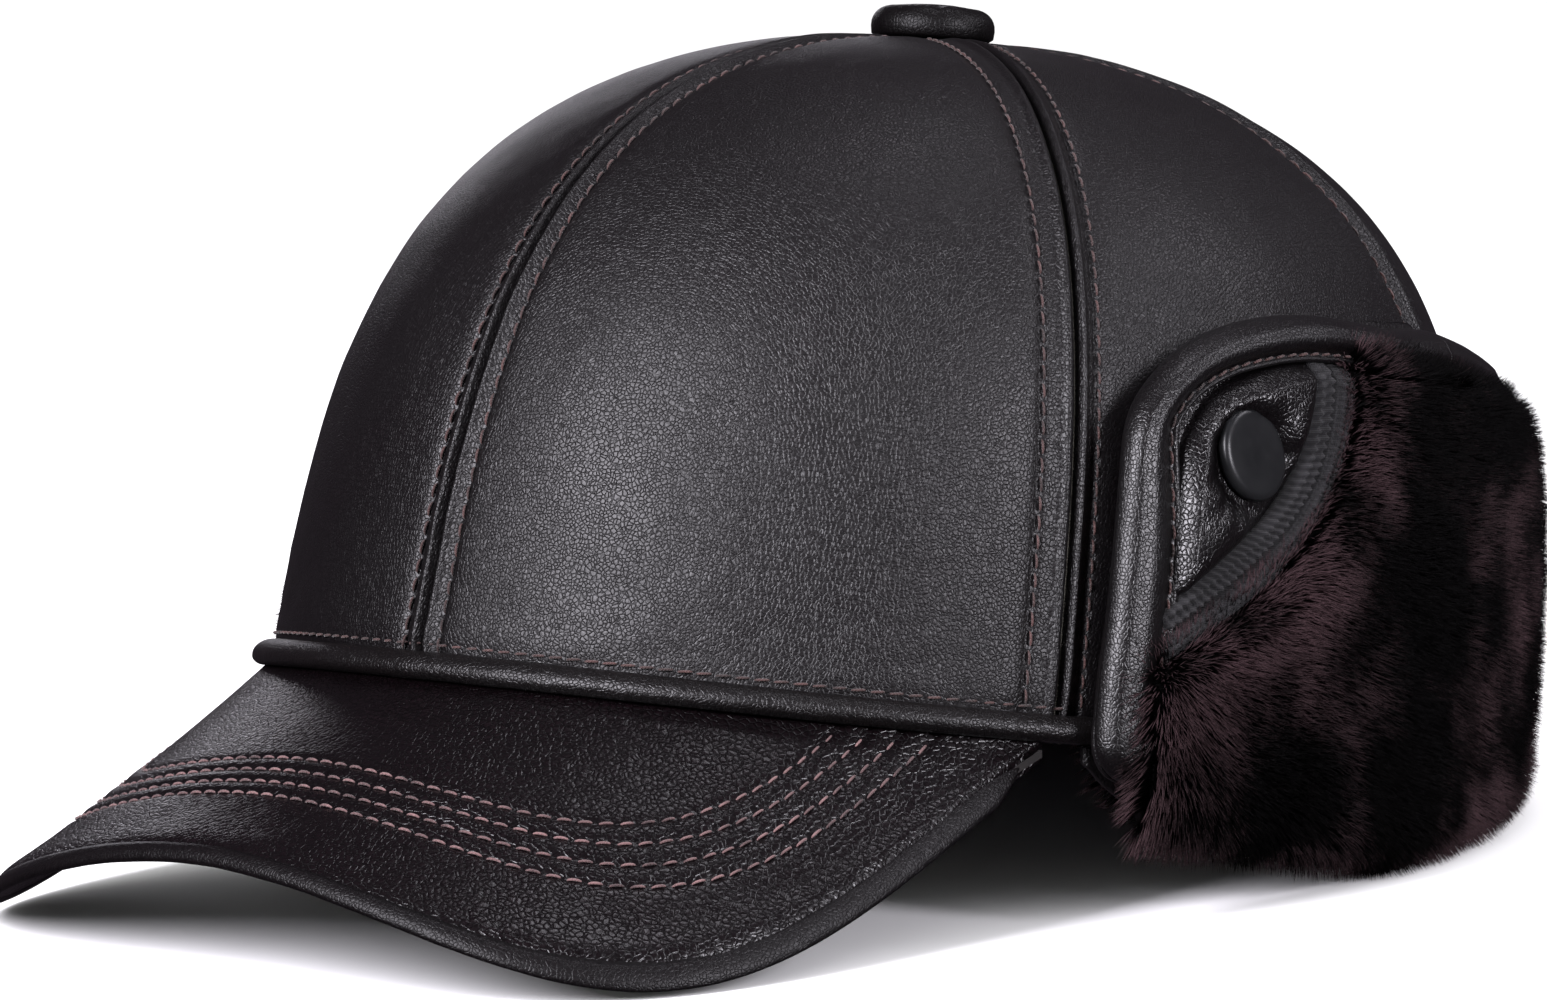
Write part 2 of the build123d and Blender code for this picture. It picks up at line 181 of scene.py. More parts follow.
def flap_top_z(phi):
    return 73.0 + 10.25 * (1 + np.cos(np.radians(np.minimum(180.0, (folded(phi) - 85) * 2.5))))


def edge_lift(phi):
    return stand_off * np.maximum(0.0, (86.0 - folded(phi)) / 20.0) ** 1.5


def bell(distance, width):
    """Smooth bump, 1 where the distance is 0 and almost 0 beyond two widths."""
    return np.exp(-(distance / width) ** 2)


def row_of(first, last, count, **settings):
    return np.linspace(first, last, count, **settings)[None, :]


def column_of(first, last, count):
    return np.linspace(first, last, count)[:, None]


def rows_between(low, high, count):
    """Grid of heights, its rows evenly spaced from low to high."""
    return low + (high - low) * column_of(0, 1, count)


def unit(v):
    return v / np.maximum(np.linalg.norm(v, axis=-1, keepdims=True), 1e-12)


def lengths(points):
    """Distance along a line of points, from its start to each point."""
    return np.concatenate(([0.0], np.cumsum(np.linalg.norm(np.diff(points, axis=0), axis=1))))


def at_lengths(at, along, values):
    return np.stack([np.interp(at, along, column) for column in values.T], -1)


def resample(points, count):
    along = lengths(points)
    return at_lengths(np.linspace(0, along[-1], count), along, points)


def spline(points, count):
    """Smooth line through the points, sampled evenly along its length."""
    p = np.array(points, float)
    p = np.vstack((2 * p[0] - p[1], p, 2 * p[-1] - p[-2]))
    t = np.linspace(0, 1, 24, endpoint=False)[:, None]
    spans = []
    for a, b, c, d in zip(p, p[1:], p[2:], p[3:]):
        square, cube = 2 * a - 5 * b + 4 * c - d, 3 * b - 3 * c + d - a
        spans.append(0.5 * (2 * b + (c - a) * t + square * t ** 2 + cube * t ** 3))
    return resample(np.vstack(spans + [p[-2][None]]), count)


def hashed(ix, iy, iz, seed):
    """Repeatable random number from 0 to 1 for each lattice point."""
    h = (ix * 73856093) ^ (iy * 19349663) ^ (iz * 83492791) ^ (seed * 2654435761)
    h = (h ^ (h >> 13)) * 1274126177
    return ((h ^ (h >> 16)) & 0xFFFFFF) / float(0xFFFFFF)


def noise(points, size, seed=1):
    """Smooth noise from -1 to 1 with features of a given size."""
    q = np.asarray(points, float) / size
    base = np.floor(q).astype(np.int64)
    f = q - base
    f = f * f * (3 - 2 * f)
    total = 0.0
    for corner in itertools.product((0, 1), repeat=3):
        weight = np.prod(np.abs(1 - np.array(corner) - f), axis=-1)
        total = total + weight * hashed(*np.moveaxis(base + corner, -1, 0), seed)
    return 2 * total - 1


# ------------------------------------------------------------------ meshes
def grid_faces(rows, columns, start=0, wrap=False):
    """Quads of a grid whose points are stored row by row; wrap joins the last column to the first."""
    i, j = np.meshgrid(np.arange(rows - 1), np.arange(columns if wrap else columns - 1), indexing="ij")
    k = (j + 1) % columns
    a, b = i * columns + j, i * columns + k
    return np.stack((a, b, b + columns, a + columns), -1).reshape(-1, 4) + start


def volume_of(points, faces):
    total = 0.0
    for group in faces:
        a = points[group[:, 0]]
        for k in range(1, group.shape[1] - 1):
            total += np.einsum("ij,ij->i", a, np.cross(points[group[:, k]], points[group[:, k + 1]])).sum()
    return total


def add_piece(name, points, faces, body, slot, replaces=(), look=None, tone=None):
    """Closed smooth mesh from arrays of points and of faces, riding on a body."""
    points = np.asarray(points, float).reshape(-1, 3)
    faces = [np.asarray(f) for f in (faces if isinstance(faces, list) else [faces])]
    if volume_of(points, faces) < 0:
        faces = [f[:, ::-1] for f in faces]
    mesh = bpy.data.meshes.new(name)
    sizes = np.concatenate([np.full(len(f), f.shape[1]) for f in faces])
    corners_of = np.concatenate([f.ravel() for f in faces]).astype(np.int32)
    mesh.vertices.add(len(points))
    mesh.vertices.foreach_set("co", (points * mm).ravel().astype(np.float32))
    mesh.loops.add(len(corners_of))
    mesh.loops.foreach_set("vertex_index", corners_of)
    mesh.polygons.add(len(sizes))
    mesh.polygons.foreach_set("loop_start", (np.cumsum(sizes) - sizes).astype(np.int32))
    mesh.polygons.foreach_set("use_smooth", np.full(len(sizes), True))
    if tone is not None:
        layer = mesh.attributes.new("tone", "FLOAT", "POINT")
        layer.data.foreach_set("value", np.asarray(tone, np.float32))
    mesh.update(calc_edges=True)
    mesh.materials.append(looks[look or slot])
    piece = bpy.data.objects.new(name, mesh)
    bpy.context.scene.collection.objects.link(piece)
    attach(piece, body)
    if replaces:
        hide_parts(*replaces)
    return piece


def shell(outer, inner):
    """Points and quads of the closed layer between two grids of the same shape."""
    rows, columns = outer.shape[:2]
    count = rows * columns
    points = np.concatenate((outer.reshape(-1, 3), inner.reshape(-1, 3)))
    border = np.concatenate((
        np.arange(columns - 1),
        np.arange(rows - 1) * columns + columns - 1,
        (rows - 1) * columns + np.arange(columns - 1, 0, -1),
        np.arange(rows - 1, 0, -1) * columns,
    ))
    after = np.roll(border, -1)
    sides = np.stack((after, border, border + count, after + count), -1)
    faces = np.concatenate((grid_faces(rows, columns), grid_faces(rows, columns, count)[:, ::-1], sides))
    return points, faces


def tube(rings):
    """Points and faces of a closed tube through rings of points, with flat ends."""
    rows, columns = rings.shape[:2]
    points = rings.reshape(-1, 3)
    ends = np.stack((np.arange(columns)[::-1], np.arange(columns) + (rows - 1) * columns))
    return points, [grid_faces(rows, columns, wrap=True), ends]


def both_sides(name, points, faces, body, slot, replaces=(), **extra):
    """The left piece and its mirror image on the right."""
    left = add_piece(name, points, faces, body, slot, replaces, **extra)
    other = [word.replace("left", "right") for word in (name, body, *replaces)]
    right = add_piece(other[0], points * (-1.0, 1.0, 1.0), faces, other[1], slot, other[2:], **extra)
    return left, right


# ------------------------------------------------------------------ stitches
thread_thick = 0.46
thread_sides = 6


def stitch_arrays(path, normals, pitch, length):
    """Thread loops along a path on a surface, each arched over from hole to hole."""
    along = lengths(path)
    count = max(1, int((along[-1] - length) / pitch) + 1)
    at = (np.arange(count) + 0.5) * along[-1] / count
    centre = at_lengths(at, along, path)
    t = unit(at_lengths(at + 0.3, along, path) - at_lengths(at - 0.3, along, path))
    n = unit(at_lengths(at, along, normals))
    b = unit(np.cross(n, t))
    t = unit(t + 0.10 * b)
    s = np.array((-1.0, -0.82, -0.45, 0.0, 0.45, 0.82, 1.0))
    width = thread_thick / 2 * np.array((0.25, 0.75, 1.0, 1.0, 1.0, 0.75, 0.25))
    height = thread_thick / 2 * np.array((-1.3, -0.2, 0.55, 0.75, 0.55, -0.2, -1.3))
    a = np.arange(thread_sides) * 2 * math.pi / thread_sides
    centre, t, b, n = (v[:, None, None, :] for v in (centre, t, b, n))
    s, width, height = (v[None, :, None, None] for v in (s, width, height))
    cos_a, sin_a = (v[None, None, :, None] for v in (np.cos(a), np.sin(a)))
    spine = centre + t * (length / 2 * s) + n * height
    points = (spine + b * (cos_a * width) + n * (sin_a * width)).reshape(-1, 3)
    step = s.size * thread_sides
    quads = grid_faces(s.size, thread_sides, wrap=True)
    ends = np.stack((np.arange(thread_sides)[::-1], np.arange(thread_sides) + step - thread_sides))
    starts = np.arange(count)[:, None, None] * step
    return points, (quads[None] + starts).reshape(-1, 4), (ends[None] + starts).reshape(-1, thread_sides)


def add_stitches(name, rows, thread, body, slot, mirror=True, pitch=3.1, length=2.5):
    """Several stitch rows, each a path with its normals, as one piece."""
    points, quads, ends, base = [], [], [], 0
    for path, normals in rows:
        p, q, e = stitch_arrays(path, normals, pitch, length)
        points.append(p)
        quads.append(q + base)
        ends.append(e + base)
        base += len(p)
    arrays = np.concatenate(points), [np.concatenate(quads), np.concatenate(ends)]
    (both_sides if mirror else add_piece)(name, *arrays, body, slot, look=thread)


# ------------------------------------------------------------------ materials
class Nodes:
    """One node tree, with short ways to add to it."""

    def __init__(self, owner):
        owner.use_nodes = True
        self.tree = owner.node_tree
        self.tree.nodes.clear()

    def add(self, kind, values=(), **settings):
        """New node; each value is a constant for an input, or an output to link to it."""
        made = self.tree.nodes.new(kind)
        for key, value in settings.items():
            setattr(made, key, value)
        for key, value in dict(values).items():
            if isinstance(value, bpy.types.NodeSocket):
                self.tree.links.new(value, made.inputs[key])
            else:
                made.inputs[key].default_value = value
        return made

    def math(self, operation, *values):
        return self.add("ShaderNodeMath", enumerate(values), operation=operation).outputs[0]

    def ramp(self, factor, *stops):
        """Colour ramp; a stop's colour may be one number, for a grey."""
        made = self.add("ShaderNodeValToRGB", {0: factor})
        elements = made.color_ramp.elements
        while len(elements) < len(stops):
            elements.new(0.5)
        for element, (position, colour) in zip(elements, stops):
            element.position = position
            element.color = (*(colour if isinstance(colour, tuple) else (colour,) * 3), 1.0)
        return made.outputs[0]


class Surface(Nodes):
    """Procedural material of one principled shader; sizes are millimetres on the object."""

    def __init__(self, name):
        looks[name] = bpy.data.materials.new(name)
        super().__init__(looks[name])
        self.shader = self.add("ShaderNodeBsdfPrincipled")
        self.add("ShaderNodeOutputMaterial", {"Surface": self.shader.outputs[0]})
        self.place = self.add("ShaderNodeTexCoord").outputs["Object"]

    def noise(self, size, detail=3.0, rough=0.55, distortion=0.0):
        values = {"Vector": self.place, "Scale": 1 / (size * mm), "Detail": detail, "Roughness": rough}
        return self.add("ShaderNodeTexNoise", {**values, "Distortion": distortion}).outputs["Fac"]

    def wave(self, scale, distortion, direction):
        values = {"Vector": self.place, "Scale": scale, "Distortion": distortion}
        return self.add("ShaderNodeTexWave", values, bands_direction=direction).outputs["Fac"]

    def finish(self, colour, rough, height, depth, **constants):
        """Link the shader to its textures and set its constants, named with _ for each space."""
        raised = self.add("ShaderNodeBump", {"Height": height, "Strength": 1.0, "Distance": depth * mm})
        for key, output in (("Base Color", colour), ("Roughness", rough), ("Normal", raised.outputs[0])):
            self.tree.links.new(output, self.shader.inputs[key])
        for key, value in constants.items():
            self.shader.inputs[key.replace("_", " ")].default_value = value


def leather_material(name, dark, light, grain, depth, shine=(0.34, 0.5), wrinkle=0.0, gloss=0.42):
    """Grain leather: rounded cells parted by creases, fine pores, long wrinkles, uneven dye and polish; the
    colour darkens into the creases, painted shade.
    """
    m = Surface(name)
    warp = m.add("ShaderNodeTexNoise", {"Vector": m.place, "Scale": 1 / (grain * 3.2 * mm), "Detail": 2.0})
    shifted = m.add("ShaderNodeVectorMath",
                    {0: warp.outputs["Color"], 1: (grain * 1.3 * mm,) * 3, 2: m.place},
                    operation="MULTIPLY_ADD")
    cells = m.add("ShaderNodeTexVoronoi",
                  {"Vector": shifted.outputs[0], "Scale": 1 / (grain * mm), "Randomness": 1.0},
                  feature="DISTANCE_TO_EDGE")
    pebble = m.ramp(cells.outputs["Distance"], (0.0, 0.0), (0.14, 0.72), (0.42, 1.0))
    fine = m.noise(grain * 0.45, 2.0)
    height = m.math("ADD", m.math("MULTIPLY", fine, 0.35), m.math("MULTIPLY", pebble, 0.65))
    if wrinkle:
        folds = m.ramp(m.noise(grain * 5.5, 4.0, 0.6, 1.2), (0.38, 0.0), (0.5, 1.0), (0.62, 0.0))
        height = m.math("SUBTRACT", height, m.math("MULTIPLY", folds, wrinkle))
    patchy = m.noise(22.0, 4.0)
    # uneven dye times the grain: the colour darkens into the creases between cells, painted shade
    dye_and_crease_shade = m.math("MULTIPLY", m.math("MULTIPLY_ADD", patchy, 0.6, 0.1), pebble)
    colour = m.ramp(dye_and_crease_shade, (0.0, tuple(0.45 * c for c in dark)), (0.3, dark), (0.75, light))
    polish = m.math("MULTIPLY", m.math("ADD", patchy, fine), 0.5)
    limits = {"From Min": 0.3, "From Max": 0.7, "To Min": shine[1], "To Max": shine[0]}
    rough = m.add("ShaderNodeMapRange", {0: polish, **limits})
    m.finish(colour, rough.outputs[0], height, depth, Specular_IOR_Level=gloss)


def thread_material(name, dark, light):
    """Twisted sewing thread, its colour faded in places."""
    m = Surface(name)
    twist = m.wave(900.0, 1.5, "DIAGONAL")
    colour = m.ramp(m.noise(6.0), (0.35, dark), (0.65, light))
    m.finish(colour, m.ramp(twist, (0.0, 0.5), (1.0, 0.75)), twist, 0.08, Sheen_Weight=0.15)


def fur_material(name, dark, light):
    """Plush pile, brown in soft patches; its roots are painted nearly black and its tips lighter, painted
    shade deep in the pile and painted sheen on the tips.
    """
    m = Surface(name)
    patch, strand = m.noise(21.0, 2.0, 0.5, 0.5), m.noise(0.8, 1.0)
    tone = m.add("ShaderNodeAttribute", attribute_name="tone").outputs["Fac"]
    mix = m.math("ADD", m.math("MULTIPLY", patch, 0.85), m.math("MULTIPLY", strand, 0.15))
    middle = tuple((a + 2 * b) / 4 for a, b in zip(dark, light))
    # the tone attribute darkens the roots and lightens the tips: painted shade deep in the pile and painted
    # sheen on the tips
    colour = m.ramp(m.math("MULTIPLY", mix, tone), (0.47, dark), (0.60, middle), (0.78, light))
    m.finish(colour, m.ramp(strand, (0.3, 0.5), (0.7, 0.7)), strand, 0.3, Specular_IOR_Level=0.06)


def cloth_material(name, dark, light, thread_size, depth):
    """Woven cloth: crossed threads with uneven dye; the colour darkens between the threads, painted shade."""
    m = Surface(name)
    scale = 1 / (thread_size * 6.3 * mm) * 3.14
    weave = m.math("MAXIMUM", m.wave(scale, 0.6, "X"), m.wave(scale, 0.6, "Z"))
    patch = m.noise(12.0)
    # weave times dye patches: darker in the hollows between threads, painted shade
    colour = m.ramp(m.math("MULTIPLY", weave, patch), (0.1, dark), (0.6, light))
    m.finish(colour, m.ramp(patch, (0.3, 0.65), (0.7, 0.85)), weave, depth, Sheen_Weight=0.05)


def plain_material(name, dark, light, rough, metal=0.0, grain=0.5, depth=0.02):
    """Moulded or stamped surface with a faint texture and uneven gloss."""
    m = Surface(name)
    fine, wide = m.noise(grain, 3.0), m.noise(7.0, 2.0)
    scuffs = m.ramp(wide, (0.3, rough * 0.85), (0.7, rough * 1.15))
    colour = m.ramp(wide, (0.3, dark), (0.7, light))
    m.finish(colour, scuffs, fine, depth, Metallic=metal, Specular_IOR_Level=0.35)


leather_material("crown_leather", (0.0018, 0.0010, 0.0014), (0.0056, 0.0034, 0.0044), 0.68, 0.10,
                 shine=(0.37, 0.47), wrinkle=0.10)
leather_material("bill_leather", (0.0018, 0.0008, 0.0012), (0.0058, 0.0028, 0.0040), 1.05, 0.12,
                 shine=(0.25, 0.33), gloss=0.34)
leather_material("welt_leather", (0.0020, 0.0012, 0.0013), (0.0060, 0.0040, 0.0042), 0.7, 0.09,
                 shine=(0.34, 0.44))
leather_material("binding_leather", (0.0018, 0.0012, 0.0015), (0.0056, 0.0038, 0.0046), 0.7, 0.07,
                 shine=(0.31, 0.40), wrinkle=0.05, gloss=0.48)
leather_material("patch_leather", (0.0016, 0.0010, 0.0013), (0.0054, 0.0036, 0.0044), 0.8, 0.10,
                 shine=(0.25, 0.34), wrinkle=0.05, gloss=0.5)
leather_material("flap_leather", (0.0018, 0.0010, 0.0014), (0.0056, 0.0034, 0.0044), 0.85, 0.12,
                 shine=(0.38, 0.52), wrinkle=0.12)
leather_material("button_leather", (0.0018, 0.0012, 0.0014), (0.0058, 0.0040, 0.0048), 0.8, 0.07,
                 shine=(0.38, 0.48), gloss=0.22)
leather_material("sweatband_leather", (0.010, 0.007, 0.007), (0.018, 0.013, 0.012), 0.8, 0.1)
leather_material("rim_binding", (0.0018, 0.0010, 0.0014), (0.0054, 0.0034, 0.0042), 0.7, 0.07,
                 shine=(0.38, 0.48), gloss=0.26)
thread_material("red_thread", (0.012, 0.004, 0.0035), (0.052, 0.018, 0.016))
thread_material("pink_thread", (0.028, 0.011, 0.012), (0.135, 0.068, 0.068))
thread_material("dark_thread", (0.012, 0.008, 0.008), (0.05, 0.028, 0.026))
fur_material("fur", (0.0007, 0.0004, 0.0005), (0.046, 0.0265, 0.0300))
cloth_material("lining_cloth", (0.006, 0.005, 0.006), (0.016, 0.013, 0.014), 0.35, 0.06)
cloth_material("ribbed_tape", (0.0022, 0.0020, 0.0028), (0.009, 0.008, 0.011), 0.4, 0.16)
cloth_material("wadding", (0.10, 0.09, 0.08), (0.16, 0.15, 0.13), 0.9, 0.2)
cloth_material("cord", (0.020, 0.018, 0.016), (0.034, 0.031, 0.028), 0.5, 0.15)
plain_material("board", (0.006, 0.005, 0.005), (0.010, 0.008, 0.008), 0.8)
plain_material("snap_metal", (0.035, 0.034, 0.038), (0.06, 0.058, 0.062), 0.42, metal=1.0)
plain_material("snap_cap", (0.0045, 0.0048, 0.0055), (0.0065, 0.0068, 0.0076), 0.34, grain=0.7, depth=0.012)
plain_material("button_core", (0.02, 0.02, 0.02), (0.03, 0.03, 0.03), 0.5)


# ------------------------------------------------------------------ crown
# Distance of the stitches before and after each seam, by its degrees round from the front.
seam_rows = {0.0: (3.9, 3.9), side_seam: (6.0, 4.0), back_seam: (4.0, 4.0), 180.0: (3.9, 3.9)}
top_tau = 86.0           # where the panels and the layers inside end, under the button
stitched_tau = 83.0


def tau_rows(count):
    """Rows up the crown, evenly spaced along its surface."""
    tau = top_tau * np.linspace(0, 1, 3000) ** 2.2
    along = lengths(crown(side_seam, tau))
    return np.interp(np.linspace(0, along[-1], count), along, tau)


def seam_relief(distance, row):
    """Height of the leather beside a seam: sewn groove, turned ridge, then the dip of the topstitches."""
    fade = np.clip(distance / 1.0, 0, 1)
    groove = -1.15 * bell(distance, 0.42)
    ridge = 0.80 * bell(distance - 1.45, 0.85)
    dip = -0.50 * bell(distance - row, 0.65)
    swell = 0.35 / (1 + np.exp(-(distance - row - 1.8) / 0.7)) * np.exp(-(distance - row) / 14.0)
    return groove + ridge * fade + dip + swell


def side_length(phi, tau):
    """Millimetres round the crown for one degree."""
    return np.linalg.norm(crown(phi + 0.5, tau) - crown(phi - 0.5, tau), axis=-1)


def panel_grid(first, last, off=0.0, detail=True):
    """Grid over one panel, finer towards its seams."""
    t = np.linspace(0, 1, 130)
    u = t - 0.86 / (2 * math.pi) * np.sin(2 * math.pi * t)
    tau = tau_rows(130)[:, None]
    per_degree = side_length((first + last) / 2, tau)
    gap = 0.12 / per_degree
    phi = first + gap + (last - first - 2 * gap) * u[None, :]
    relief = np.zeros(phi.shape)
    if detail:
        after, before = (phi - first) * per_degree, (last - phi) * per_degree
        relief = relief + seam_relief(after, seam_rows[first][1]) + seam_relief(before, seam_rows[last][0])
        relief = relief * np.clip((84.5 - tau) / 8.0, 0, 1) ** 0.5
        place = crown(phi, tau)
        above = place[..., 2] - foot_height(phi)
        crease = noise(place * (0.35, 0.35, 1.0), 3.1, 3) + 0.5 * noise(place * (0.6, 0.6, 1.6), 2.0, 5)
        relief = relief + 0.28 * crease * np.exp(-np.maximum(0, above) / 16.0)
        relief = relief + 0.14 * noise(place, 14.0, 7) + 0.05 * noise(place, 4.5, 9)
        relief = relief - 0.5 * np.exp(-np.maximum(0, above - 4.6) / 0.9)
    return crown(phi, tau, off + relief)


def make_crown():
    seams = tuple(seam_rows)
    for name, first, last in zip(("front", "side", "back"), seams, seams[1:]):
        outer = panel_grid(first, last)
        inner = panel_grid(first, last, off=-leather, detail=False)
        both_sides(name + "_panel_leather_left", *shell(outer, inner), "root", "crown_leather",
                   (name + "_panel_left",))


def seam_path(seam, distance, bottom=5.2):
    """Line at a given distance beside a seam, with the crown's normals; it starts above the foot."""
    tau = tau_rows(420)
    tau = tau[(crown(seam, tau)[:, 2] - foot_height(seam) > bottom) & (tau < stitched_tau)]
    phi = seam + distance / side_length(seam, tau)
    return crown(phi, tau, -0.05), crown_normal(phi, tau)


def crown_normal(phi, tau):
    round_it = crown(phi + 0.2, tau) - crown(phi - 0.2, tau)
    up_it = crown(phi, tau + 0.2) - crown(phi, np.maximum(tau - 0.2, 0.0))
    return unit(np.cross(round_it, up_it))


def make_crown_stitches():
    def left_rows(name, rows):
        add_stitches(name, rows, "red_thread", "root", "crown_leather")

    rows = [(seam, distance) for seam in (side_seam, back_seam)
            for distance in (-seam_rows[seam][0], seam_rows[seam][1])]
    left_rows("side_seam_stitches_left", [seam_path(*row) for row in rows])
    left_rows("front_seam_stitches_left", [seam_path(0.0, seam_rows[0.0][1], bottom=1.0)])
    left_rows("back_seam_stitches_left", [seam_path(180.0, -seam_rows[180.0][0])])
    phi = np.linspace(-side_seam - 1, side_seam + 1, 500)
    z = foot_height(phi) + 5.5
    row = wall(phi, z, -0.1), wall_normal(phi, z)
    add_stitches("welt_stitches", [row], "red_thread", "root", "welt_leather", mirror=False)


def wall_normal(phi, z):
    round_it = wall(phi + 0.3, z) - wall(phi - 0.3, z)
    up_it = wall(phi, z + 0.4) - wall(phi, z - 0.4)
    return unit(np.cross(round_it, up_it))


def make_welt():
    reach = side_seam + 5.0
    phi = column_of(-reach, reach, 270)
    a = row_of(0, 2 * math.pi, 28, endpoint=False)
    out = np.where(np.cos(a) > 0, 2.55 * np.cos(a), 0.2 * np.cos(a))
    end = np.clip((reach - np.abs(phi)) / 1.2, 0.05, 1) ** 0.5
    z = foot_height(phi) + 2.35 + 2.2 * np.sin(a) * end
    place = wall(phi, z, 0.3)
    seam_bulge = 0.35 * bell(phi, 2.6)
    uneven = 0.12 * noise(place, 7.0, 21) + 0.06 * noise(place * (1, 1, 2.0), 2.2, 22)
    rings = wall(phi, z, 0.3 + out * end + (uneven + seam_bulge) * (np.cos(a) > 0))
    add_piece("front_welt_roll", *tube(rings), "root", "welt_leather", ("front_welt",))


# ------------------------------------------------------------------ bill
def bill_height(x, y):
    ahead = -(y - centre_y) - crown_reach
    junction = foot_z + rake * crown_reach - bill_drop
    return junction - bill_slope * ahead - bill_curl * x ** 2 - bill_edge_curl * x ** 4


def bill_fall(x):
    """Slope of the bill across its width."""
    return 2 * bill_curl * x + 4 * bill_edge_curl * x ** 3


def lowered(x, down):
    """Height to take off for a depth below the bill's top, more where the bill is steep."""
    return down * (0.6 + 0.4 * np.sqrt(1 + bill_slope ** 2 + bill_fall(x) ** 2))


def bill_size(inset_side, inset_front):
    """Half width and length of the bill's outline, less an inset at the side and ahead."""
    return bill_half - inset_side, crown_reach + bill_reach + bill_corner_y - inset_front


def in_outline(across, forward):
    return across ** bill_side_power + forward ** bill_front_power < 1


def bill_outline(beta, inset_side, inset_front):
    """Line parallel to the bill's edge at beta degrees from straight ahead."""
    sin_beta, cos_beta = np.abs(np.sin(np.radians(beta))), np.abs(np.cos(np.radians(beta)))
    width, length = bill_size(inset_side, inset_front)
    bounds = np.full(np.shape(beta), 0.5), np.full(np.shape(beta), 1.5)
    radius = sum(narrow(*bounds, lambda middle: in_outline(middle * sin_beta, middle * cos_beta), 40)) / 2
    x = np.sign(beta) * width * radius * sin_beta
    return x, bill_corner_y + centre_y - length * radius * cos_beta


def row_number(x, y):
    """0 to bill_rows - 1 on the stitch rows, less outside them and more inside."""
    width, length = bill_size(bill_row_side, bill_row_front)
    ahead = np.maximum(0.0, bill_corner_y + centre_y - y)

    def inside(row):
        across = np.abs(x) / np.maximum(width - row * bill_row_side_step, 1.0)
        return in_outline(across, ahead / np.maximum(length - row * bill_row_front_step, 1.0))

    return sum(narrow(np.full(x.shape, -4.0), np.full(x.shape, 20.0), inside, 30)) / 2


def root_lift(foot, share):
    """Height that brings the bill's root up to the crown's foot."""
    return (foot[..., 2] + 0.25 - bill_height(foot[..., 0], foot[..., 1])) * (1 - share) ** 3


def bill_point(beta, share, inset, down=0.0):
    """Point of the bill, share 0 at the crown's foot and 1 at the edge less an inset."""
    foot = crown(beta * side_seam / 90.0, 0.0, 0.4)
    x_out, y_out = bill_outline(beta, inset, inset)
    x = foot[..., 0] + (x_out - foot[..., 0]) * share
    y = foot[..., 1] + (y_out - foot[..., 1]) * share
    z = bill_height(x, y) + root_lift(foot, share) - lowered(x, down)
    return np.stack((x, y, z), -1)


def bill_rows_relief(points):
    row = row_number(points[..., 0], points[..., 1])
    nearest = np.clip(np.round(row), 0, bill_rows - 1)
    away = np.abs(row - nearest) * (bill_row_side_step + bill_row_front_step) / 2
    puffed = (row > 0) & (row < bill_rows - 1)
    return -0.34 * bell(away, 0.62) + 0.16 * puffed * np.sin(np.pi * (row % 1)) ** 2


def make_bill():
    beta = row_of(-88, 88, 330)
    share = column_of(0, 1, 120) ** 0.9
    top = bill_point(beta, share, bill_rim + 0.05)
    top[..., 2] += bill_rows_relief(top) + 0.10 * noise(top, 11.0, 31) + 0.04 * noise(top, 4.0, 32)
    away = (1 - share) * np.linalg.norm(top[-1] - top[0], axis=-1)[None, :]
    swell = 0.25 + 0.85 * np.clip((np.abs(beta) - 25.0) / 30.0, 0, 1)
    top[..., 2] += swell * (1 - np.exp(-away / 1.6)) * bell(away, 7.0) - 0.35 * np.exp(-away)
    low = bill_point(beta, share, bill_rim + 0.05, 0.65)
    add_piece("bill_top_leather", *shell(top, low), "root", "bill_leather", ("bill_top_cover",))
    share = column_of(0, 1, 60)
    under_top = bill_point(beta, share, bill_rim + 0.05, bill_thick - 0.65)
    under = bill_point(beta, share, bill_rim + 0.05, bill_thick)
    under[..., 2] += 0.3 * np.exp(-((1 - share) * 45.0 - 3.0) ** 2 / 0.5) + 0.08 * noise(under, 9.0, 33)
    add_piece("bill_under_leather", *shell(under_top, under), "root", "bill_leather",
              ("bill_under_cover",))
    make_bill_rim()
    make_bill_stitches()


def make_bill_rim():
    beta = column_of(-88.3, 88.3, 420)
    a = row_of(-math.pi / 2, math.pi / 2, 15)
    taper = np.clip((88.3 - np.abs(beta)) / 4, 0.05, 1) ** 0.5
    bulge = np.cos(a) ** 0.8 * taper
    inset = (bill_rim + 0.5) * (1 - bulge)
    x, y = bill_outline(np.broadcast_to(beta, inset.shape), inset, inset)
    down = bill_thick / 2 - (bill_thick / 2 + 0.12) * np.sin(a) * taper
    half = np.stack((x, y, bill_height(x, y) - lowered(x, down)), -1)
    half = half + 0.06 * noise(half, 5.0, 41)[..., None]
    add_piece("bill_edge_roll", *tube(half), "root", "rim_binding", ("bill_edge_binding",))


def bill_row_path(row):
    beta = np.linspace(-89, 89, 1200)
    x, y = bill_outline(beta, bill_row_side + row * bill_row_side_step,
                        bill_row_front + row * bill_row_front_step)
    foot_turn = np.degrees(np.arctan2(x / (half_width * (1 + flare)), -(y - centre_y) / crown_reach))
    foot = crown(foot_turn, 0.0)
    beyond = np.hypot(x, y - centre_y) - np.hypot(foot[:, 0], foot[:, 1] - centre_y)
    share = np.clip(beyond / (beyond + 30.0), 0, 1)
    path = np.stack((x, y, bill_height(x, y) + root_lift(foot, share) - 0.22), -1)
    normals = unit(np.stack((bill_fall(x), np.full(x.shape, -bill_slope), np.ones(x.shape)), -1))
    keep = beyond > 1.5
    return path[keep], normals[keep]


def make_bill_stitches():
    rows = [bill_row_path(row) for row in range(bill_rows)]
    add_stitches("bill_stitches", rows, "pink_thread", "root", "bill_leather",
                 mirror=False, pitch=3.3, length=2.6)


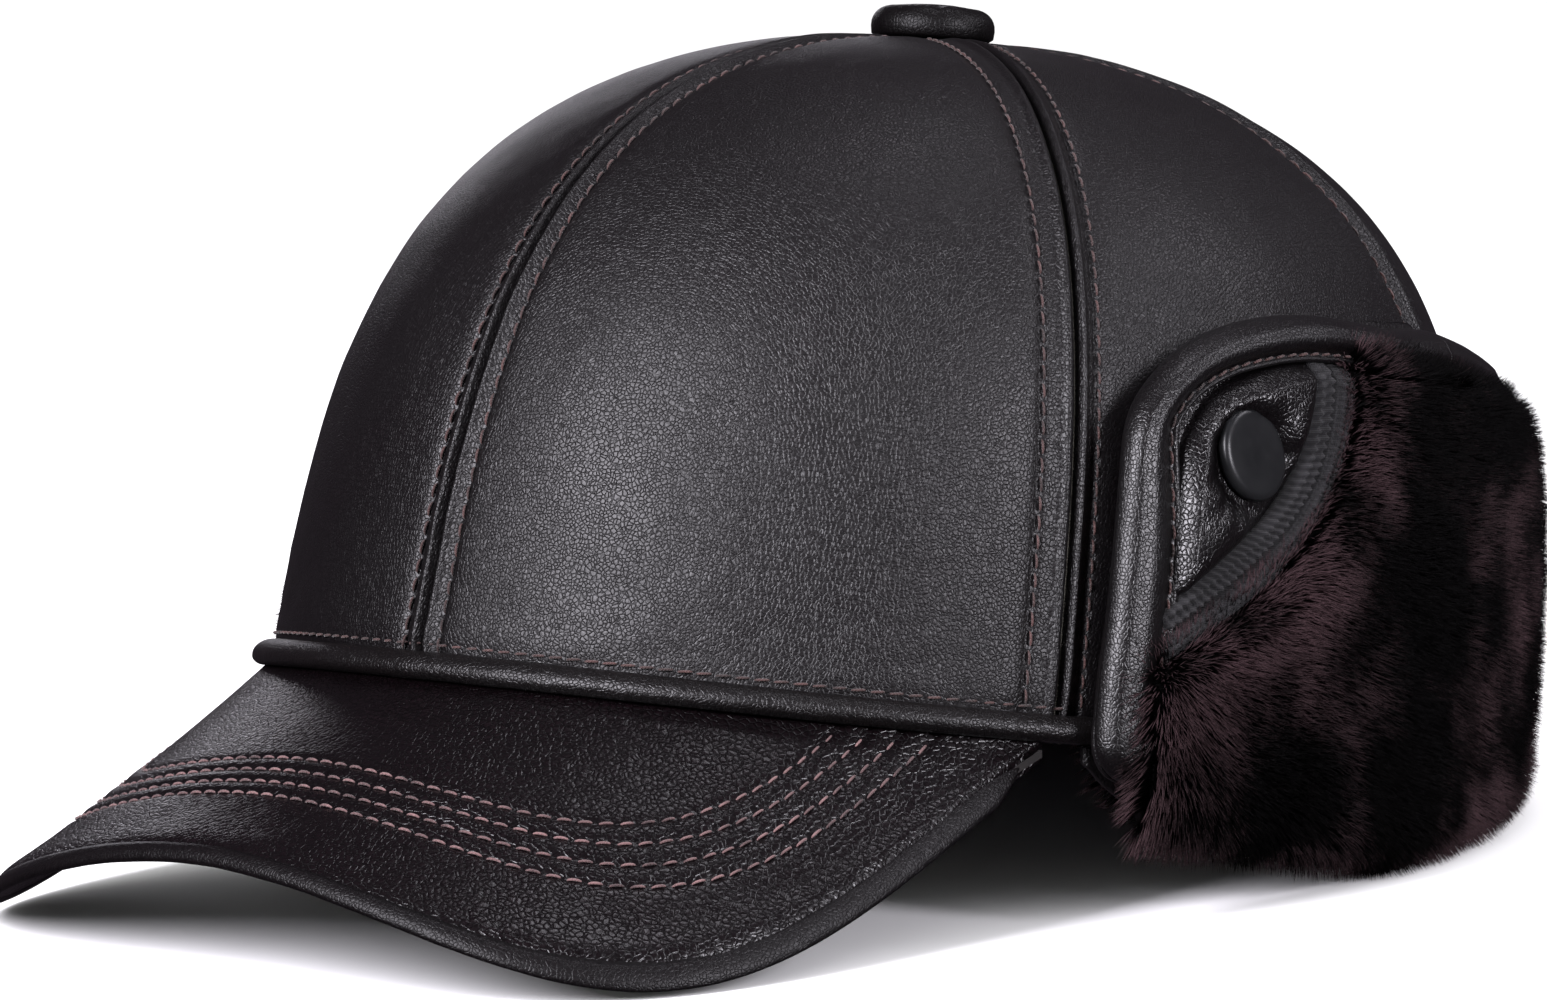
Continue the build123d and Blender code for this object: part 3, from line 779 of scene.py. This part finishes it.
# ------------------------------------------------------------------ button
def rounded(radius, curve, low, high, count):
    """Quarter-round profile, as (radius, height), from a side at a radius to a top."""
    a = np.arange(1, count + 1) / count * math.pi / 2
    return list(zip(radius - curve + curve * np.cos(a), low + (high - low) * np.sin(a)))


def turned(r, h, turn, middle, across, side, up):
    """Points at radius r and height h, turned about a direction."""
    flat = (r * np.cos(turn))[..., None] * across + (r * np.sin(turn))[..., None] * side
    return middle + flat + (h + 0 * turn)[..., None] * up


def make_button():
    up = unit(np.array((0.0, rake, 1.0)))
    across = np.array((1.0, 0.0, 0.0))
    top = button_rise - 0.5
    profile = [(button_radius - 0.9, 0.15), (button_radius - 0.15, 0.7), (button_radius, 2.0)]
    profile += rounded(button_radius, 3.6, 2.3, top, 8)
    profile += [(r, top + 0.5 * (1 - (r / 7.0) ** 2)) for r in (5.6, 4.0, 2.4, 1.2, 0.6)]
    r, h = np.array(profile).T[..., None]
    turn = np.linspace(0, 2 * math.pi, 96, endpoint=False)
    u, v = r * np.cos(turn), r * np.sin(turn)
    crease = bell(u * 0.8 + v * 0.6 - 1.2, 0.9) * np.clip((r - 3.0) / 5.0, 0, 1)
    h = h + (h > 1.0) * (0.10 * noise(np.stack((u, v, h + 0 * u), -1), 4.0, 51) - 0.35 * crease)
    points = turned(r, h, turn, crown(0.0, 90.0), across, np.cross(up, across), up)
    add_piece("button_leather_cover", *tube(points), "root", "button_leather", ("button_cover",))


# ------------------------------------------------------------------ flap edge binding
# Cross-section of the rolled binding: distance inside the flap's edge, and height above the crown.
binding_profile = ((9.3, 2.0), (6.0, 1.9), (3.0, 1.9), (1.1, 2.2), (0.2, 3.0), (0.0, 4.0), (0.25, 5.1),
                   (0.8, 6.1), (1.6, 7.0), (2.5, 7.6), (3.0, 7.55), (3.5, 7.75), (4.4, 8.0), (5.4, 7.8),
                   (6.4, 7.3), (7.2, 6.6), (7.8, 6.1), (8.3, 6.1), (8.8, 6.7), (9.4, 6.6), (9.8, 5.9),
                   (9.7, 4.4), (9.5, 3.0))
binding_stitch = (8.05, 6.3)     # where its stitches run in that cross-section


def edge_places():
    """(phi, z) along the flap's edge, from its left front end to its middle at the back."""
    ear = spline(edge_line, 160)
    ear_z = ear[:, 1] + view_z
    ear_phi = turn_at(ear[:, 0], ear_z, view_off)
    keep = ear_phi < corners[1] - 3.0
    rear_phi = np.linspace(corners[1], 180.0, 90)
    return np.concatenate((ear_phi[keep], rear_phi)), np.concatenate((ear_z[keep], flap_top_z(rear_phi)))


def edge_frames(count):
    """Even places along the whole edge with the inward direction, as (phi, z, inward per mm in phi and z)."""
    phi, z = edge_places()
    phi = np.concatenate((phi, 360 - phi[-2::-1]))
    z = np.concatenate((z, z[-2::-1]))
    along = lengths(wall(phi, z, view_off))
    at = np.linspace(0, along[-1], count)
    phi, z = np.interp(at, along, phi), np.interp(at, along, z)
    kernel = np.hanning(15)
    kernel /= kernel.sum()
    padded = (np.pad(v, 7, mode="reflect", reflect_type="odd") for v in (phi, z))
    phi, z = (np.convolve(v, kernel, mode="valid") for v in padded)
    per_degree = np.linalg.norm(wall(phi + 0.5, z, view_off) - wall(phi - 0.5, z, view_off), axis=-1)
    slope = np.linalg.norm(wall(phi, z + 0.5, view_off) - wall(phi, z - 0.5, view_off), axis=-1)
    step = unit(np.stack((np.gradient(phi) * per_degree, np.gradient(z) * slope), -1))
    return phi, z, step[:, 1] / per_degree, -step[:, 0] / slope


def make_binding():
    phi, z, in_phi, in_z = edge_frames(900)
    profile = resample(np.array(binding_profile + (binding_profile[0],)), 57)[:-1]
    w, n = profile[:, 0][None, :], profile[:, 1][None, :]
    along = np.arange(len(phi))
    from_end = np.minimum(along, len(phi) - 1 - along)[:, None] * 0.8
    tuck = bell(from_end, 5.0)
    wide = np.interp(z, (62.0, 88.0), (1.27, 0.84))
    wide = np.where(folded(phi) > 95, 1.0 + (wide - 1.0) * np.clip((112 - folded(phi)) / 17, 0, 1), wide)
    ring_phi = phi[:, None] + w * (wide * in_phi)[:, None]
    ring_z = z[:, None] + w * (wide * in_z)[:, None]
    place = wall(ring_phi, ring_z, n)
    uneven = 0.14 * noise(place, 9.0, 61) + 0.03 * noise(place, 3.0, 62)
    off = 2.0 + (n - 2.0) * (1 - 0.8 * tuck) + edge_lift(ring_phi) * (1 - 0.6 * tuck) + uneven
    rings = wall(ring_phi, ring_z, off)
    cuts = [0] + [int(np.argmin(np.abs(phi - c))) for c in corners[1:-1]] + [len(phi) - 1]
    spans = list(zip(sections, cuts, cuts[1:]))
    for name, first, last in spans:
        add_piece(name + "_binding_roll", *tube(rings[first:last + 1]), name, "binding_leather",
                  (name + "_binding",))
    stitch_w, stitch_n = binding_stitch
    row_phi, row_z = phi + stitch_w * wide * in_phi, z + stitch_w * wide * in_z
    path = wall(row_phi, row_z, stitch_n + edge_lift(row_phi))
    normals = wall_normal(row_phi, row_z)
    for name, first, last in spans:
        span = slice(max(first, 14), min(last, len(phi) - 14) + 1)
        add_stitches(name + "_binding_stitches", [(path[span], normals[span])], "red_thread", name,
                     "binding_leather", mirror=False, pitch=3.0, length=2.4)


# ------------------------------------------------------------------ flap layers
def between(first_line, second_line, shares):
    """Side-view places between two lines: rows run from the first line to the second."""
    return first_line[None] + (second_line - first_line)[None] * shares[:, None, None]


def ear_border(top, off, end_y, rise, count):
    """Side-view lines round the ear section: its top, cut at its rear end, its fold, and its rear end."""
    corner_z = np.linspace(0, 90.0, count)
    corner_y = wall(corners[1], corner_z + view_z, off)[:, 1] - centre_y
    fold_y = np.linspace(top[0, 0], end_y, count)
    fold = np.stack((fold_y, fold_below(fold_y) + rise - view_z), -1)
    top, fold = (line[line[:, 0] < np.interp(line[:, 1], corner_z, corner_y)] for line in (top, fold))
    rear = np.stack((corner_y, corner_z), -1)
    return top, fold, rear[(corner_z > fold[-1, 1]) & (corner_z < top[-1, 1])]


def on_ear(places, off):
    """Points on the left wall from side-view places."""
    y, z = places[..., 0], places[..., 1] + view_z
    phi = turn_at(y, z, view_off)
    return wall(phi, z, off + edge_lift(phi))


def make_flap_leather():
    edge, fold, rear = ear_border(spline(edge_line, 400), 4.0, 60.0, 0.0, 200)
    second = np.vstack((fold, rear, edge[-1:]))
    places = between(resample(edge, 90), resample(second, 90), np.linspace(0.01, 1.0, 60))
    outer = on_ear(places, shell_in + 0.05 * noise(np.dstack((places, places[..., :1] * 0)), 9.0, 71))
    both_sides("left_ear_flap_leather", *shell(on_ear(places, shell_out), outer), "left_ear", "flap_leather",
               ("left_ear_leather",))
    for index in (1, 2):
        phi = row_of(corners[index], corners[index + 1], 70)
        z = rows_between(fold_z(phi), flap_top_z(phi) - 0.8, 60)
        grain = 0.06 * noise(wall(phi, z), 10.0, 72)
        arrays = shell(wall(phi, z, shell_out), wall(phi, z, shell_in + grain))
        on_section(index, "_flap_leather", *arrays, "flap_leather", (sections[index] + "_leather",))


def on_section(index, ending, points, faces, slot, replaces=(), **extra):
    """Pieces on a left flap section and its mirror image, or on the neck section alone."""
    name = sections[index]
    if name == "neck":
        return [add_piece(name + ending, points, faces, name, slot, replaces, **extra)]
    return both_sides(name + ending, points, faces, name, slot, replaces, **extra)


def face_line(count):
    """Border of what lies inside the binding, set a little under the binding."""
    line = spline(inner_line, count)
    step = unit(np.gradient(line, axis=0))
    return line + 2.0 * np.stack((-step[:, 1], step[:, 0]), -1)


def cross_places(first, second):
    """Index on each of two dense side-view lines where they come closest."""
    gap = np.linalg.norm(first[:, None] - second[None], axis=-1)
    return np.unravel_index(np.argmin(gap), gap.shape)


def make_patch():
    """Padded leather patch under the press stud, dimpled where the stud pulls it in."""
    arch, tape = face_line(800), spline(tape_inner_line, 600)
    i, j = cross_places(arch[:400], tape[300:])
    k, m = cross_places(arch[400:], tape[:300])
    upper = resample(arch[i:400 + k], 110)
    lower = resample(tape[m:300 + j][::-1], 110)
    shares = np.linspace(0, 1, 70)
    places = between(upper, lower, shares)
    snap_y = wall(cap_turn, cap_z)[1] - centre_y
    d = np.hypot(places[..., 0] - snap_y, (places[..., 1] + view_z - cap_z))
    angle = np.arctan2(places[..., 1] + view_z - cap_z, places[..., 0] - snap_y)
    across = np.abs(2 * shares - 1)[:, None]
    along = np.abs(2 * np.linspace(0, 1, 110) - 1)[None, :]
    inset = shares[:, None] * np.linalg.norm(lower - upper, axis=-1)[None, :]
    margin = np.interp(places[..., 1], (62.0, 86.0), (4.6, 2.2))
    puff = (1 - across ** 4.0) ** 0.7 * (1 - along ** 6) ** 0.5
    puff = puff * np.clip((inset - margin + 0.6) / 3.2, 0, 1) ** 0.6
    dimple = np.exp(-(np.maximum(0, d - cap_radius + 0.6) / 2.9) ** 1.7)
    spokes = np.cos(angle * 13 + 1.8 * np.sin(angle * 3 + 1)) * bell(d - cap_radius - 2.6, 3.0)
    solid = np.dstack((places, 0 * d))
    off = 4.7 + 4.8 * puff * (1 - 0.70 * dimple) + 0.20 * spokes * puff
    off = off + (0.10 * noise(solid * (1.0, 0.45, 1.0), 4.2, 81) + 0.03 * noise(solid, 1.6, 82)) * puff
    pad = shell(on_ear(places, off), on_ear(places, face_in))
    for piece in both_sides("left_ear_snap_pad", *pad, "left_ear", "patch_leather", ("left_ear_snap_patch",)):
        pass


def make_tape():
    """Twill band and ribbed tape where the patch meets the fur; its ends go under the binding."""
    length = 72.0
    arch = face_line(800)
    borders = []
    for edge in (spline(tape_inner_line, 500), spline(tape_outer_line, 500)):
        low, _ = cross_places(edge[250:], arch[:400])
        high, _ = cross_places(edge[:200], arch[400:])
        borders.append(resample(edge[max(0, high - 16):260 + low], 260))
    share = np.linspace(0, 1, 49)
    places = between(*borders, share)
    s = share[:, None]
    along = row_of(0, 1, 260) * length
    twill, ribbed = s < 0.46, s > 0.54
    relief = 0.50 * np.cos(s * 2 * np.pi * 4.0 - np.pi) * twill
    relief = relief + 0.55 * np.abs(np.cos(s * 2 * np.pi * 3.0)) ** 0.6 * ribbed
    relief = relief + 0.42 * np.sin(along * 2 * np.pi / 1.7 + s * 22) * twill
    relief = relief + 0.14 * np.sin(along * 2 * np.pi / 1.1) * (s > 0.56)
    relief = relief - 1.8 * bell(s - 0.5, 0.035)
    relief = relief + 0.8 * np.clip(1 - np.abs(s - 0.25) * 4, 0, 1) ** 0.5 * (s < 0.5)
    relief = relief + 1.0 * np.clip(1 - np.abs(s - 0.76) * 4.1, 0, 1) ** 0.5 * (s >= 0.5)
    ends = np.clip((np.minimum(along, length - along) - 3.2) / 3.0, 0, 1) ** 0.6
    tape = shell(on_ear(places, 4.8 + (1.8 + relief) * ends), on_ear(places, face_in))
    both_sides("left_ear_ribbed_tape", *tape, "left_ear", "ribbed_tape", ("left_ear_tape",))


def make_cap():
    """Domed press-stud cap, turned a little towards the back."""
    def normal(turn):
        return wall_normal(np.array(turn), np.array(cap_z))

    up = unit(normal(cap_turn) + 0.22 * normal(cap_turn + 60.0))
    lift = float(edge_lift(snap_turn))
    across = unit(np.cross(up, np.array((0.0, 0.0, 1.0))))
    foot, top = 5.6 + lift, 8.15 + lift
    profile = [(cap_radius - 0.9, foot), (cap_radius - 0.2, foot + 0.4), (cap_radius, foot + 1.1)]
    profile += rounded(cap_radius, 1.3, foot + 1.5, top, 6)
    profile += [(r, top + 0.25 * (1 - (r / 6.4) ** 2)) for r in (6.0, 5.4, 4.0, 2.4, 1.2, 0.6)]
    r, h = np.array(profile).T[..., None]
    turn = np.linspace(0, 2 * math.pi, 72, endpoint=False)
    points = turned(r, h, turn, wall(cap_turn, cap_z), across, np.cross(up, across), up)
    both_sides("left_ear_snap_dome", *tube(points), "left_ear", "snap_cap", ("left_ear_snap_cap",))


# ------------------------------------------------------------------ fur
def fur_off(round_off, near_edge):
    """Height of the fur's backing: rounded at the fold, and lower towards its upper edge."""
    swell = np.sqrt(1 - (1 - np.clip(round_off, 0, 1)) ** 2) * (0.4 + 0.6 * np.clip(near_edge, 0, 1) ** 0.5)
    return face_in + 0.3 + (fur_out - pile - face_in + 0.9) * swell


def fur_pad_ear():
    """Outer and inner grids of the ear section's fur, inside its binding and tape."""
    arch, tape = face_line(1200), spline(tape_outer_line, 800)
    i, j = cross_places(arch[:500], tape[400:])
    k, m = cross_places(arch[500:], tape[:400])
    start = arch[:i][arch[:i, 1] > 17.5]
    upper = np.vstack((start, tape[m:400 + j][::-1], arch[500 + k:]))
    upper, fold, rear = ear_border(upper, 6.0, 70.0, 3.0, 300)
    lower = np.vstack((start[:1], fold, rear, upper[-1:]))
    shares = np.linspace(0, 1, 60)
    places = between(resample(upper, 110), resample(lower, 110), shares)
    above = places[..., 1] + view_z - fold_below(places[..., 0]) - 3.0
    off = fur_off(above / 7.0, shares[:, None] / 0.08)
    return on_ear(places, off), on_ear(places, face_in)


def fur_pad_rear(index):
    phi = row_of(corners[index], corners[index + 1], 90)
    low, high = fold_z(phi) + 3.0, flap_top_z(phi) - binding_width + 0.3
    z = rows_between(low, high, 60)
    return wall(phi, z, fur_off((z - low) / 7.0, (high - z) / 4.0)), wall(phi, z, face_in)


def strands(outer, count, seed, length=pile, width=0.21, inward=False):
    """Curved tapering hairs rooted on a grid surface, combed in soft locks."""
    def sway_of(size, first):
        return np.stack([noise(root, size, first + k) for k in range(3)], -1)

    rng = np.random.default_rng(seed)
    a, b, c, d = outer[:-1, :-1], outer[1:, :-1], outer[1:, 1:], outer[:-1, 1:]
    normal = np.cross(c - a, d - b)
    area = np.linalg.norm(normal, axis=-1).ravel()
    pick = np.searchsorted(np.cumsum(area) / area.sum(), rng.random(count))
    pick = np.minimum(pick, len(area) - 1)
    u, v = rng.random((2, count, 1))
    a, b, c, d = (g.reshape(-1, 3)[pick] for g in (a, b, c, d))
    root = (a * (1 - u) + b * u) * (1 - v) + (d * (1 - u) + c * u) * v
    out = unit(normal.reshape(-1, 3)[pick])
    if ((out[:, :2] * (root[:, :2] - np.array((0, centre_y)))).sum() < 0) != inward:
        out = -out
    comb = np.array((0.0, -0.10, -0.22))
    turn = folded(np.degrees(np.arctan2(root[:, 0] / half_width, -(root[:, 1] - centre_y) / half_front)))
    corner = np.clip((80.0 - turn) / 9.0, 0, 1) * np.clip((44.0 - root[:, 2]) / 20.0, 0, 1)
    front = np.clip((74.5 - turn) / 3.0, 0, 1)[:, None] * np.array((0.0, -0.5, 0.0))
    lean = comb + 0.20 * sway_of(6.5, seed + 101) + 0.11 * sway_of(1.9, seed + 111)
    lean = lean + 0.28 * sway_of(26.0, 211)
    lean = lean + 0.11 * rng.normal(size=(count, 3)) + front + corner[:, None] * np.array((0.0, -1.0, -0.45))
    direction = unit(out + 0.6 * lean)
    bend = unit(direction + 0.5 * lean)
    uneven = 1 + 0.10 * noise(root, 6.0, seed + 131) + 0.3 * corner
    reach = (length * (0.86 + 0.16 * rng.random(count)) * uneven)[:, None]
    root = root - out * 0.8
    knee = root + direction * reach * 0.55
    tip = knee + bend * reach * 0.5
    side = unit(np.cross(direction, rng.normal(size=(count, 3))))
    third = np.cross(direction, side)
    rings = []
    for centre, radius in ((root, width / 2), (knee, width * 0.42)):
        for k in range(3):
            angle = 2 * math.pi * k / 3
            rings.append(centre + radius * (math.cos(angle) * side + math.sin(angle) * third))
    points = np.stack(rings + [tip], 1)
    lowest = root_foot_z(turn)[:, None] if inward else 0.0
    points[..., 2] = np.maximum(points[..., 2], lowest + 0.15 + 0.1 * rng.random(points.shape[:2]))
    tape = spline(tape_outer_line, 60) + np.array((centre_y, view_z))
    gap = np.min(np.linalg.norm(root[:, None, 1:] - tape[None], axis=-1), axis=1)
    low = bell(root[:, 2] - 7.0, 8.0)
    glow = 0.78 + 0.46 * bell(gap - 5.0, 7.0) + 0.30 * corner + 0.38 * low
    glow = glow + 0.34 * noise(root, 15.0, 77)
    quads = np.array([(k, (k + 1) % 3, 3 + (k + 1) % 3, 3 + k) for k in range(3)])
    tips = np.array([(3 + k, 3 + (k + 1) % 3, 6) for k in range(3)] + [(2, 1, 0)])
    starts = np.arange(count)[:, None, None] * 7
    # tone rises from the roots to the tips: painted shade deep in the pile and painted sheen on the tips
    tone = np.tile(np.array((root_shade_tone,) * 3 + (0.85,) * 3 + (1.25,)), count)
    tone = tone * np.repeat(glow * (0.86 + 0.28 * rng.random(count)), 7)
    faces = [(quads[None] + starts).reshape(-1, 4), (tips[None] + starts).reshape(-1, 3)]
    return points.reshape(-1, 3), faces, tone


def make_fur():
    share = 1.0
    for index, amount in enumerate((17000, 15000, 12000)):
        outer, inner = fur_pad_ear() if index == 0 else fur_pad_rear(index)
        points, faces = shell(outer, inner)
        # the fur's backing is as dark as the roots: painted shade under the pile
        for pad in on_section(index, "_fur_pad", points, faces, "fur", (sections[index] + "_fur",),
                              tone=np.full(len(points), root_shade_tone)):
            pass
        for coat in (1, 2):
            points, faces, tone = strands(outer, int(amount * share), 500 + 10 * coat + index)
            on_section(index, f"_fur_pile_{coat}", points, faces, "fur", tone=tone)


# ------------------------------------------------------------------ inside of the hat
def root_foot_z(phi):
    """Lower edge of what hangs from the crown, clear of the flap when that is down."""
    hinge = hinge_z - hinge_fall * (crown(phi, 0.0)[..., 1] - centre_y)
    highest = foot_height(phi) - 3.0
    lowest = np.minimum(np.maximum(2 * hinge - fold_z(phi), hinge) + 0.8, highest)
    return highest + (lowest - highest) * np.clip((folded(phi) - 67.0) / 12.0, 0, 1) ** 0.7


def make_dome_layer(name, off, thickness, quilt, lowest, slot, node_name):
    """Layer all round inside the crown; its inner side is quilted in diamonds."""
    rows, columns = 90, 360
    tau = lowest + tau_rows(rows)[:, None] * (1 - lowest / top_tau)
    phi = row_of(0, 360, columns, endpoint=False)
    u, v = phi / 15.0, column_of(0, 10, rows)
    bulge = quilt * np.abs(np.sin(np.pi * (u + v)) * np.sin(np.pi * (u - v))) ** 0.5
    outer, inner = crown(phi, tau, -off), crown(phi, tau, -off - thickness - bulge)
    points = np.concatenate((outer, inner[::-1])).reshape(-1, 3)
    faces = grid_faces(2 * rows + 1, columns, wrap=True) % len(points)
    return add_piece(name, points, faces, "root", slot, (node_name,))


def make_crown_layers():
    padding = make_dome_layer("crown_padding", 1.35, 2.3, 0.3, 0.15, "wadding", "crown_wadding")
    lining = make_dome_layer("quilted_lining", 4.1, 0.5, 0.6, 0.0, "lining_cloth", "crown_lining")


def make_sweatband():
    phi = np.linspace(-side_seam, side_seam, 160)
    share = column_of(0, 1, 30)
    z = foot_height(phi[None, :]) + 0.5 + 31.5 * share
    grain = 0.1 * noise(wall(phi, z), 12.0, 91) + 0.35 * bell(share - 0.94, 0.03)
    add_piece("sweatband_strip", *shell(wall(phi, z, -5.5), wall(phi, z, -6.6 - grain)), "root",
              "sweatband_leather", ("sweatband",))
    z = foot_height(phi) + 2.6
    row = wall(phi, z, -6.6), -wall_normal(phi, z)
    add_stitches("sweatband_stitches", [row], "dark_thread", "root", "sweatband_leather", mirror=False)


def make_inner_cuff():
    phi = row_of(side_seam + 7.0, 353 - side_seam, 260)
    low, high = root_foot_z(phi) + 1.5, foot_height(phi) + 30.0
    share = column_of(0, 1, 40)
    z = rows_between(low, high, 40)
    inside = wall(phi, z, -6.2 - 2.2 * np.sqrt(1 - np.abs(2 * share - 1) ** 4))
    points, faces = shell(inside, wall(phi, z, -5.9))
    # the cuff's backing is as dark as the roots: painted shade under the pile
    cuff = add_piece("inner_cuff_pad", points, faces, "root", "fur", ("inner_fur_cuff",),
                     tone=np.full(len(points), root_shade_tone))
    count = 19000
    points, faces, tone = strands(inside, count, 640, length=4.6, width=0.3, inward=True)
    add_piece("inner_cuff_pile", points, faces, "root", "fur", tone=tone)


def make_foot_strip():
    phi = row_of(corners[0], corners[-1], 300)
    z = rows_between(root_foot_z(phi), foot_height(phi) - 0.2, 16)
    strip = shell(wall(phi, z, 0.05 * noise(wall(phi, z), 9.0, 92)), wall(phi, z, -leather))
    add_piece("foot_strip_leather", *strip, "root", "flap_leather", ("flap_foot_strip",))


# ------------------------------------------------------------------ carried-over CAD nodes
def finish_nodes():
    hidden = {"welt_cord": "cord", "bill_board": "board", "button_core": "button_core"}
    metal = ("button_rivet", "snap_stud_left", "snap_stud_right", "left_ear_snap_socket",
             "right_ear_snap_socket")
    for name, look in {**hidden, **dict.fromkeys(metal, "snap_metal")}.items():
        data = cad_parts[name].data
        data.materials.clear()
        data.materials.append(looks[look])


# ------------------------------------------------------------------ stage
def seen_from(azimuth, elevation):
    """Direction from the hat, azimuth 0 ahead of the bill and 90 on the wearer's left."""
    a, e = math.radians(azimuth), math.radians(elevation)
    return np.array((math.sin(a) * math.cos(e), -math.cos(a) * math.cos(e), math.sin(e)))


def area_light(name, azimuth, elevation, distance, size, power):
    """Soft box, its distance and size in metres."""
    data = bpy.data.lights.new(name, "AREA")
    data.shape = "RECTANGLE"
    data.size, data.size_y = size
    data.energy = power
    data.color = light_colour
    towards = seen_from(azimuth, elevation)
    lamp = bpy.data.objects.new(name, data)
    lamp.location = towards * distance + np.array(light_aim)
    turn_to(lamp, towards, 0.0)
    bpy.context.scene.collection.objects.link(lamp)


def turn_to(thing, back, roll):
    """Point a camera or lamp so that its back faces a direction."""
    right = unit(np.cross((0.0, 0.0, 1.0), back))
    up = np.cross(back, right)
    c, s = math.cos(roll), math.sin(roll)
    rotation = np.stack((right * c + up * s, up * c - right * s, back), 1)
    thing.rotation_mode = "QUATERNION"
    thing.rotation_quaternion = Matrix(rotation.tolist()).to_quaternion()


light_colour = (0.95, 0.92, 1.0)
light_aim = (0.0, 0.0, 0.06)
camera_azimuth = 42.246
camera_elevation = 6.514
camera_distance = 1296.78
camera_roll = -1.51
camera_side = -13.883
camera_aim_z = 59.5
sensor_width = 36.0
focal_length = 176.14
floor_radius = 3.0


def make_camera():
    back = seen_from(camera_azimuth, camera_elevation)
    right = seen_from(camera_azimuth + 90.0, 0.0)
    aim = right * camera_side + np.array((0.0, centre_y, camera_aim_z))
    data = bpy.data.cameras.new("camera")
    data.sensor_width = sensor_width
    data.lens = focal_length
    camera = bpy.data.objects.new("camera", data)
    camera.location = (aim + back * camera_distance) * mm
    turn_to(camera, back, math.radians(camera_roll))
    bpy.context.scene.collection.objects.link(camera)
    bpy.context.scene.camera = camera


def make_stage():
    mesh = bpy.data.meshes.new("floor")
    turn = np.linspace(0, 2 * math.pi, 64, endpoint=False)
    mesh.from_pydata([(floor_radius * math.cos(t), floor_radius * math.sin(t), 0.0) for t in turn], [],
                     [tuple(range(64))])
    surface = Surface("pale_floor")
    for key, value in (("Base Color", (0.9, 0.9, 0.9, 1)), ("Roughness", 0.9), ("Specular IOR Level", 0.1)):
        surface.shader.inputs[key].default_value = value
    mesh.materials.append(looks["pale_floor"])
    floor = bpy.data.objects.new("floor", mesh)
    bpy.context.scene.collection.objects.link(floor)
    floor.visible_glossy = False
    make_world()


def make_world():
    """White backdrop and even light on the floor, with a darker room in what the leather reflects."""
    world = bpy.data.worlds.new("studio")
    nodes = Nodes(world)
    place = nodes.add("ShaderNodeTexCoord").outputs["Generated"]
    height = nodes.add("ShaderNodeSeparateXYZ", {0: place}).outputs["Z"]
    walls = nodes.ramp(height, (0.0, (0.043, 0.034, 0.043)), (0.4, (0.060, 0.049, 0.060)),
                       (1.0, (0.074, 0.062, 0.076)))
    white = nodes.add("ShaderNodeBackground", {"Color": (1, 1, 1, 1), "Strength": 1.2})
    room = nodes.add("ShaderNodeBackground", {"Color": walls, "Strength": 1.0})
    reflected = nodes.add("ShaderNodeLightPath").outputs["Is Glossy Ray"]
    pick = nodes.add("ShaderNodeMixShader", {0: reflected, 1: white.outputs[0], 2: room.outputs[0]})
    nodes.add("ShaderNodeOutputWorld", {"Surface": pick.outputs[0]})
    world.cycles.sampling_method = "NONE"
    bpy.context.scene.world = world
    bpy.context.scene.view_settings.view_transform = "Standard"


def make_lights():
    area_light("key", 3, 29, 1.1, (0.34, 0.62), 22)
    area_light("top_back", 180, 72, 1.2, (0.3, 0.3), 2.0)
    area_light("back_left", -128, 13, 1.2, (0.5, 0.2), 0.9)
    area_light("right", 92, 18, 1.1, (0.22, 0.4), 10)
    area_light("right_back", 142, 36, 1.1, (0.35, 0.3), 2)


make_crown()
make_crown_stitches()
make_welt()
make_bill()
make_button()
make_binding()
make_flap_leather()
make_patch()
make_tape()
make_cap()
make_fur()
make_crown_layers()
make_sweatband()
make_inner_cuff()
make_foot_strip()
finish_nodes()
make_camera()
make_stage()
make_lights()
